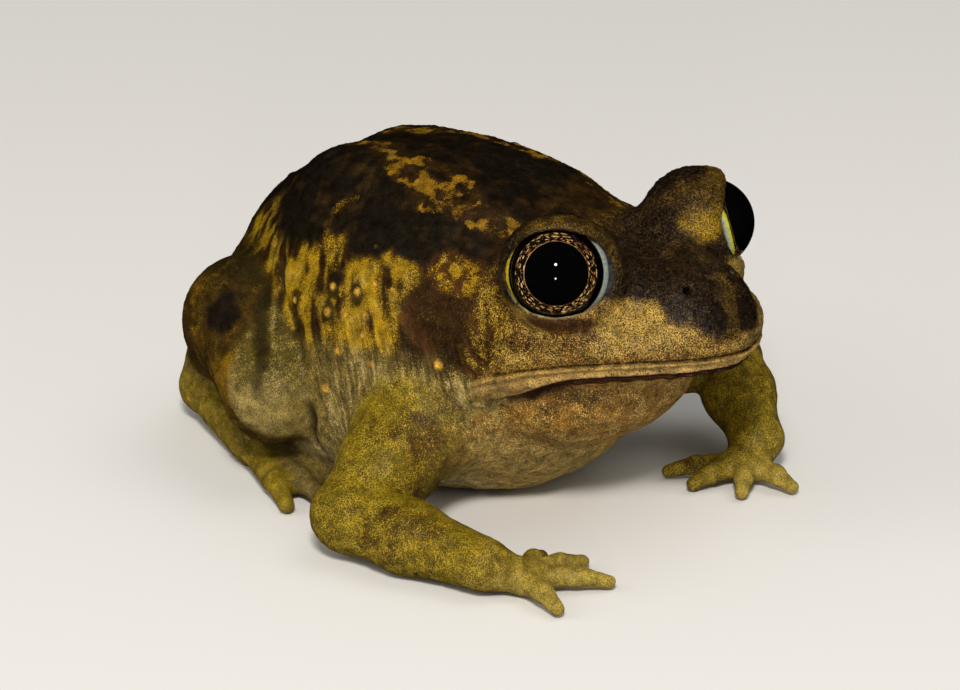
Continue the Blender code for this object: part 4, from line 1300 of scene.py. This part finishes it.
def make_spades():
    horn, tree, shader = new_material("spade_horn", Roughness=0.3)
    place = node(tree, "TexCoord").outputs["Object"]
    wear = node(tree, "TexNoise", {"Vector": place, "Scale": 1800.0, "Detail": 4.0})
    tone = node(tree, "ValToRGB", {"Fac": wear.outputs["Fac"]})
    tone.color_ramp.elements[0].color = (0.006, 0.005, 0.004, 1.0)
    tone.color_ramp.elements[1].color = (0.035, 0.025, 0.018, 1.0)
    tree.links.new(tone.outputs[0], shader.inputs["Base Color"])
    for name, side in SIDES.items():
        leg = LEGS[name]

        def field(p):
            return np.maximum(spade(p, leg, side), 0.02 * MM - p[:, 2])
        middle = placed(leg, "heel", side) * 0.3 + placed(leg, "sole", side) * 0.7
        middle[2] = 0.0
        points, quads = meshed(field, middle - mm(6.0, 5.0, 1.0), middle + mm(6.0, 5.0, 3.0), 0.12 * MM)
        piece = new_object("spade_" + name + "_horn", points + SHIFT, quads)
        piece.data.materials.append(horn)
        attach(piece, "root")
        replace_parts(piece, "spade_" + name)


# Stage: plain pale floor, soft light and the photograph's view


LAMP_DISTANCE = 0.6
# Name, azimuth and elevation in degrees, width in metres, watts, colour, and whether glossy surfaces show it
LAMPS = (("key", 40.0, 44.0, 0.14, 2.2, (1.0, 0.95, 0.87), False),
         ("glint", 42.0, 43.0, 0.07, 0.8, (1.0, 0.97, 0.92), True),
         ("low", 42.0, 8.0, 0.05, 0.3, (1.0, 0.97, 0.92), True),
         ("fill", -30.0, 28.0, 0.4, 0.7, (1.0, 0.98, 0.96), False),
         ("top", 150.0, 65.0, 0.5, 0.6, (1.0, 1.0, 1.0), False))


def make_stage():
    floor = new_object("floor", [(-3, -3, 0), (3, -3, 0), (3, 3, 0), (-3, 3, 0)], [(0, 1, 2, 3)])
    plain = (0.80, 0.79, 0.77, 1.0)
    matt = new_material("floor", Base_Color=plain, Roughness=0.9, Specular_IOR_Level=0.2)[0]
    floor.data.materials.append(matt)
    floor.visible_glossy = False
    world = bpy.data.worlds.new("studio")
    world.use_nodes = True
    world.node_tree.nodes["Background"].inputs["Color"].default_value = (1.0, 0.98, 0.95, 1.0)
    world.node_tree.nodes["Background"].inputs["Strength"].default_value = 0.24
    world.cycles_visibility.glossy = False
    bpy.context.scene.world = world
    for lamp in LAMPS:
        area_light(*lamp)


def towards(azimuth, elevation):
    """The direction from the subject to a light or camera, as a view's two angles give it."""
    a, e = math.radians(azimuth), math.radians(elevation)
    return Vector((math.sin(a) * math.cos(e), -math.cos(a) * math.cos(e), math.sin(e)))


def area_light(name, azimuth, elevation, size, power, colour, reflected):
    data = bpy.data.lights.new(name, "AREA")
    data.shape, data.size, data.energy, data.color = "DISK", size, power, colour
    obj = bpy.data.objects.new(name, data)
    away = towards(azimuth, elevation)
    obj.location = Vector((0.0, 0.0, 0.01)) + away * LAMP_DISTANCE
    obj.rotation_euler = away.to_track_quat("Z", "Y").to_euler()
    obj.visible_glossy = reflected
    bpy.context.scene.collection.objects.link(obj)


# The photograph's view: where its camera stood, and a point between the eyes with its place in the photo
PHOTO_WIDTH, PHOTO_HEIGHT = 960, 690
CAMERA_AZIMUTH, CAMERA_ELEVATION, CAMERA_DISTANCE = 43.0, 21.5, 0.32
TARGET, TARGET_PIXEL = (13.5, 0.0, 19.0), (632.0, 246.5)
PIXELS_PER_MM = 15.3


def make_camera():
    target = Vector(mm(*TARGET) + SHIFT)
    away = towards(CAMERA_AZIMUTH, CAMERA_ELEVATION)
    turn = (-away).to_track_quat("-Z", "Y")
    right, up = turn @ Vector((1, 0, 0)), turn @ Vector((0, 1, 0))
    data = bpy.data.cameras.new("view")
    data.lens = PIXELS_PER_MM * CAMERA_DISTANCE / MM * data.sensor_width / PHOTO_WIDTH
    data.clip_start = 0.01
    camera = bpy.data.objects.new("view", data)
    camera.rotation_mode = "QUATERNION"
    camera.rotation_quaternion = turn
    aside = right * (TARGET_PIXEL[0] - PHOTO_WIDTH / 2) + up * (PHOTO_HEIGHT / 2 - TARGET_PIXEL[1])
    camera.location = target + away * CAMERA_DISTANCE - aside / PIXELS_PER_MM * MM
    bpy.context.scene.collection.objects.link(camera)
    bpy.context.scene.camera = camera


make_camera()
make_stage()
make_skin()
make_eyes()
make_spades()
bpy.context.scene.view_settings.view_transform = "Standard"
